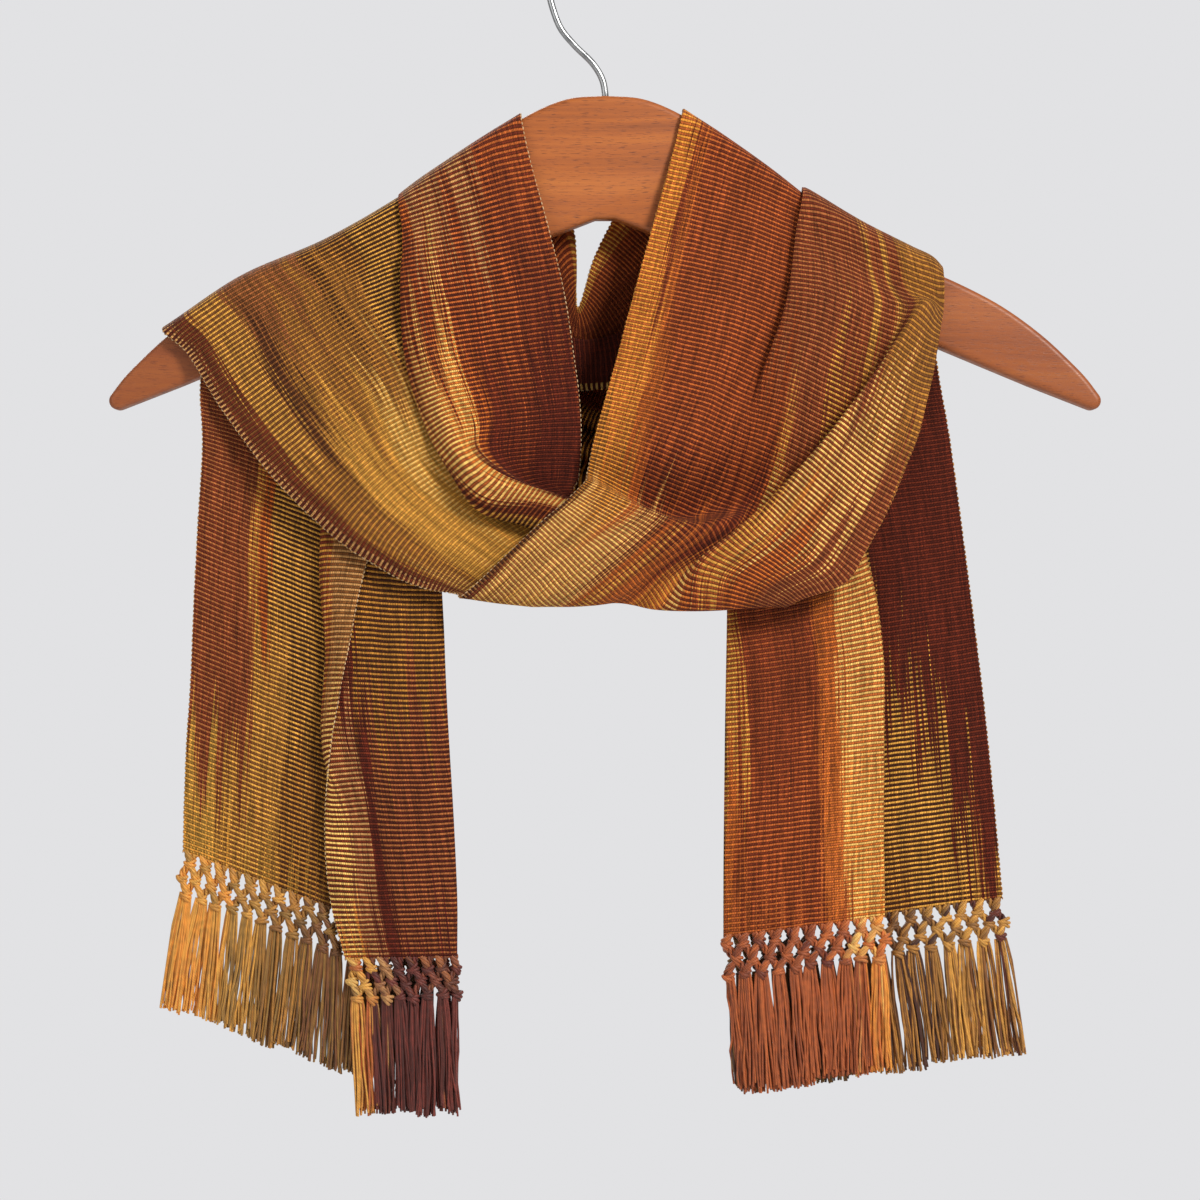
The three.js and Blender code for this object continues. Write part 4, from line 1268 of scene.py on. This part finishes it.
def hanger_board(material):
    """The board with rounded edges all round."""
    tip = []
    for k in range(1, TIP_FACETS + 1):
        angle = math.radians(mix(BOARD_TIP["from"], BOARD_TIP["to"], k / TIP_FACETS))
        x = BOARD_TIP["x"] + BOARD_TIP["radius"] * math.cos(angle)
        tip.append((x, BOARD_TIP["z"] + BOARD_TIP["radius"] * math.sin(angle)))
    right = [(p[0], p[2]) for p in board_top_line] + tip + BOARD_UNDER
    outline = np.array(right + [(-x, z) for x, z in right[:0:-1]])
    along = unit(np.roll(outline, -1, axis=0) - np.roll(outline, 1, axis=0))
    outward = np.stack([-along[:, 1], along[:, 0]], axis=-1)
    rings = []
    for side in (-1, 1):
        angles = [math.pi / 2 * k / BOARD_EDGE_STEPS for k in range(BOARD_EDGE_STEPS + 1)]
        for angle in angles if side < 0 else angles[::-1]:
            inset = BOARD_EDGE_ROUND * (1 - math.sin(angle))
            depth = side * (BOARD_THICKNESS / 2 - BOARD_EDGE_ROUND * (1 - math.cos(angle)))
            rings.append([(x, depth, z) for x, z in outline - outward * inset])
    count = len(outline)
    vertices = [v for ring in rings for v in ring]
    faces = [list(range(count))[::-1], list(range((len(rings) - 1) * count, len(rings) * count))]
    for r in range(len(rings) - 1):
        for k in range(count):
            n = (k + 1) % count
            faces.append([r * count + k, r * count + n, (r + 1) * count + n, (r + 1) * count + k])
    board = mesh_object("hanger_board_wood", vertices, faces)
    if signed_volume(board.data) < 0:
        board.data.flip_normals()
    shade(board, material, sharp_degrees=40)
    return board


def signed_volume(mesh):
    """Above 0 when the faces of a closed mesh point outwards."""
    mesh.calc_loop_triangles()
    corners = ([mesh.vertices[v].co for v in triangle.vertices] for triangle in mesh.loop_triangles)
    return sum(a.dot(b.cross(c)) for a, b, c in corners)


def hanger_hook(tree, material):
    """The wire hook, along its neck and round its loop."""
    middle = HOOK_WIRE / 2 - HOOK_LOOP_RADIUS
    points = [(x, 0, z) for x, z in HOOK_NECK]
    for k in range(HOOK_ARC_POINTS + 1):
        angle = math.radians(mix(HOOK_ARC_START, HOOK_TIP_ANGLE, k / HOOK_ARC_POINTS))
        points.append((HOOK_LOOP_RADIUS * math.cos(angle), 0, middle + HOOK_LOOP_RADIUS * math.sin(angle)))
    wire = Lines()
    wire.add([tuple(p) for p in catmull_rom(points, HOOK_STEPS)])
    return wire.build("hanger_hook_wire", tree, {"radius": HOOK_WIRE / 2, "sides": HOOK_SIDES}, material)


# ---- putting it together ------------------------------------------------------------------------------
dyes = dye_group()
cloth_material = woven_cloth(dyes)
yarn_material = plied_yarn(dyes)
wood_material = oiled_wood()
steel_material = steel_wire()
weft_material = selvedge_yarn()
yarns_along_lines = yarn_tree()
beads_along_edge = beads_tree()

cloth = scarf_cloth(cloth_material)
gold_edge = weft_turns(
    "weft_turns_gold_edge", edge=0, inner=1, seed=2, group=beads_along_edge, material=weft_material
)
far_edge = weft_turns(
    "weft_turns_far_edge", edge=-1, inner=-2, seed=4, group=beads_along_edge, material=weft_material
)
left = fringe(
    "fringe_left", end=0, lean=(4, -10), seed=11, tree=yarns_along_lines, material=yarn_material
)
right = fringe(
    "fringe_right", end=-1, lean=(10, 3), seed=23, tree=yarns_along_lines, material=yarn_material
)
board = hanger_board(wood_material)
hook = hanger_hook(yarns_along_lines, steel_material)

for piece, slot in [
    (cloth, "cloth"),
    (gold_edge, "yarn"),
    (far_edge, "yarn"),
    *[(piece, "yarn") for piece in left + right],
    (board, "wood"),
    (hook, "steel"),
]:
    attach(piece, "root")
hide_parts(*STRETCHES)
for piece in left:
    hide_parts("fringe_left")
for piece in right:
    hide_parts("fringe_right")
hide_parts("hanger_board")
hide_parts("hanger_hook")

# ---- floor, light and camera, in metres ---------------------------------------------------------------
FLOOR = {"half_width": 3, "half_depth": 3.2, "z": -1.2}
LIT_POINT = (0, 0, -0.3)
LIGHTS = [
    {"name": "key", "place": (1.3, -1.6, 0.95), "size": 0.7, "watts": 46, "colour": (1.0, 0.98, 0.94)},
    {"name": "fill", "place": (-1.6, -1.4, 0.1), "size": 1.6, "watts": 7, "colour": (1.0, 0.99, 0.97)},
    {"name": "back", "place": (-0.6, 1.8, 0.8), "size": 1.4, "watts": 22, "colour": (1.0, 1.0, 1.0)},
]
VIEW_DISTANCE = 1.8
VIEW_WIDTH = 0.54
VIEW_MIDDLE = {"x": -0.00225, "z": -0.29835}
SENSOR_WIDTH = 36

x, y, z = FLOOR["half_width"], FLOOR["half_depth"], FLOOR["z"]
floor_mesh = bpy.data.meshes.new("floor")
floor_mesh.from_pydata([(-x, -y, z), (x, -y, z), (x, y, z), (-x, y, z)], [], [(0, 1, 2, 3)])
floor = link(bpy.data.objects.new("floor", floor_mesh))
floor_material, floor_tree, floor_surface = new_material("floor")
floor_tree.wire(floor_surface, {"Base Color": (0.78, 0.78, 0.79, 1), "Roughness": 0.9})
floor.data.materials.append(floor_material)

for lamp in LIGHTS:
    light = bpy.data.lights.new(lamp["name"], "AREA")
    light.shape = "DISK"
    light.size = lamp["size"]
    light.energy = lamp["watts"]
    light.color = lamp["colour"]
    lamp_object = link(bpy.data.objects.new(lamp["name"], light))
    lamp_object.location = lamp["place"]
    aim = Vector(LIT_POINT) - Vector(lamp["place"])
    lamp_object.rotation_euler = aim.to_track_quat("-Z", "Y").to_euler()

world = bpy.data.worlds.new("pale room")
bpy.context.scene.world = world
world.use_nodes = True
world.node_tree.nodes.clear()
room = Tree(world.node_tree)
seen = room.add("ShaderNodeBackground", {"Color": (0.76, 0.76, 0.775, 1), "Strength": 1.0})
lit = room.add("ShaderNodeBackground", {"Color": (1.0, 0.99, 0.97, 1), "Strength": 0.34})
path = room.add("ShaderNodeLightPath")
is_camera_ray = path.outputs["Is Camera Ray"]
both = room.add("ShaderNodeMixShader", {0: is_camera_ray, 1: lit.outputs[0], 2: seen.outputs[0]})
room.add("ShaderNodeOutputWorld", {0: both.outputs[0]})

bpy.context.scene.view_settings.view_transform = "Standard"

camera_data = bpy.data.cameras.new("camera")
camera_data.sensor_width = SENSOR_WIDTH
camera_data.lens = SENSOR_WIDTH * VIEW_DISTANCE / VIEW_WIDTH
camera = link(bpy.data.objects.new("camera", camera_data))
camera.location = (VIEW_MIDDLE["x"], -VIEW_DISTANCE, VIEW_MIDDLE["z"])
camera.rotation_euler = (math.pi / 2, 0, 0)
bpy.context.scene.camera = camera
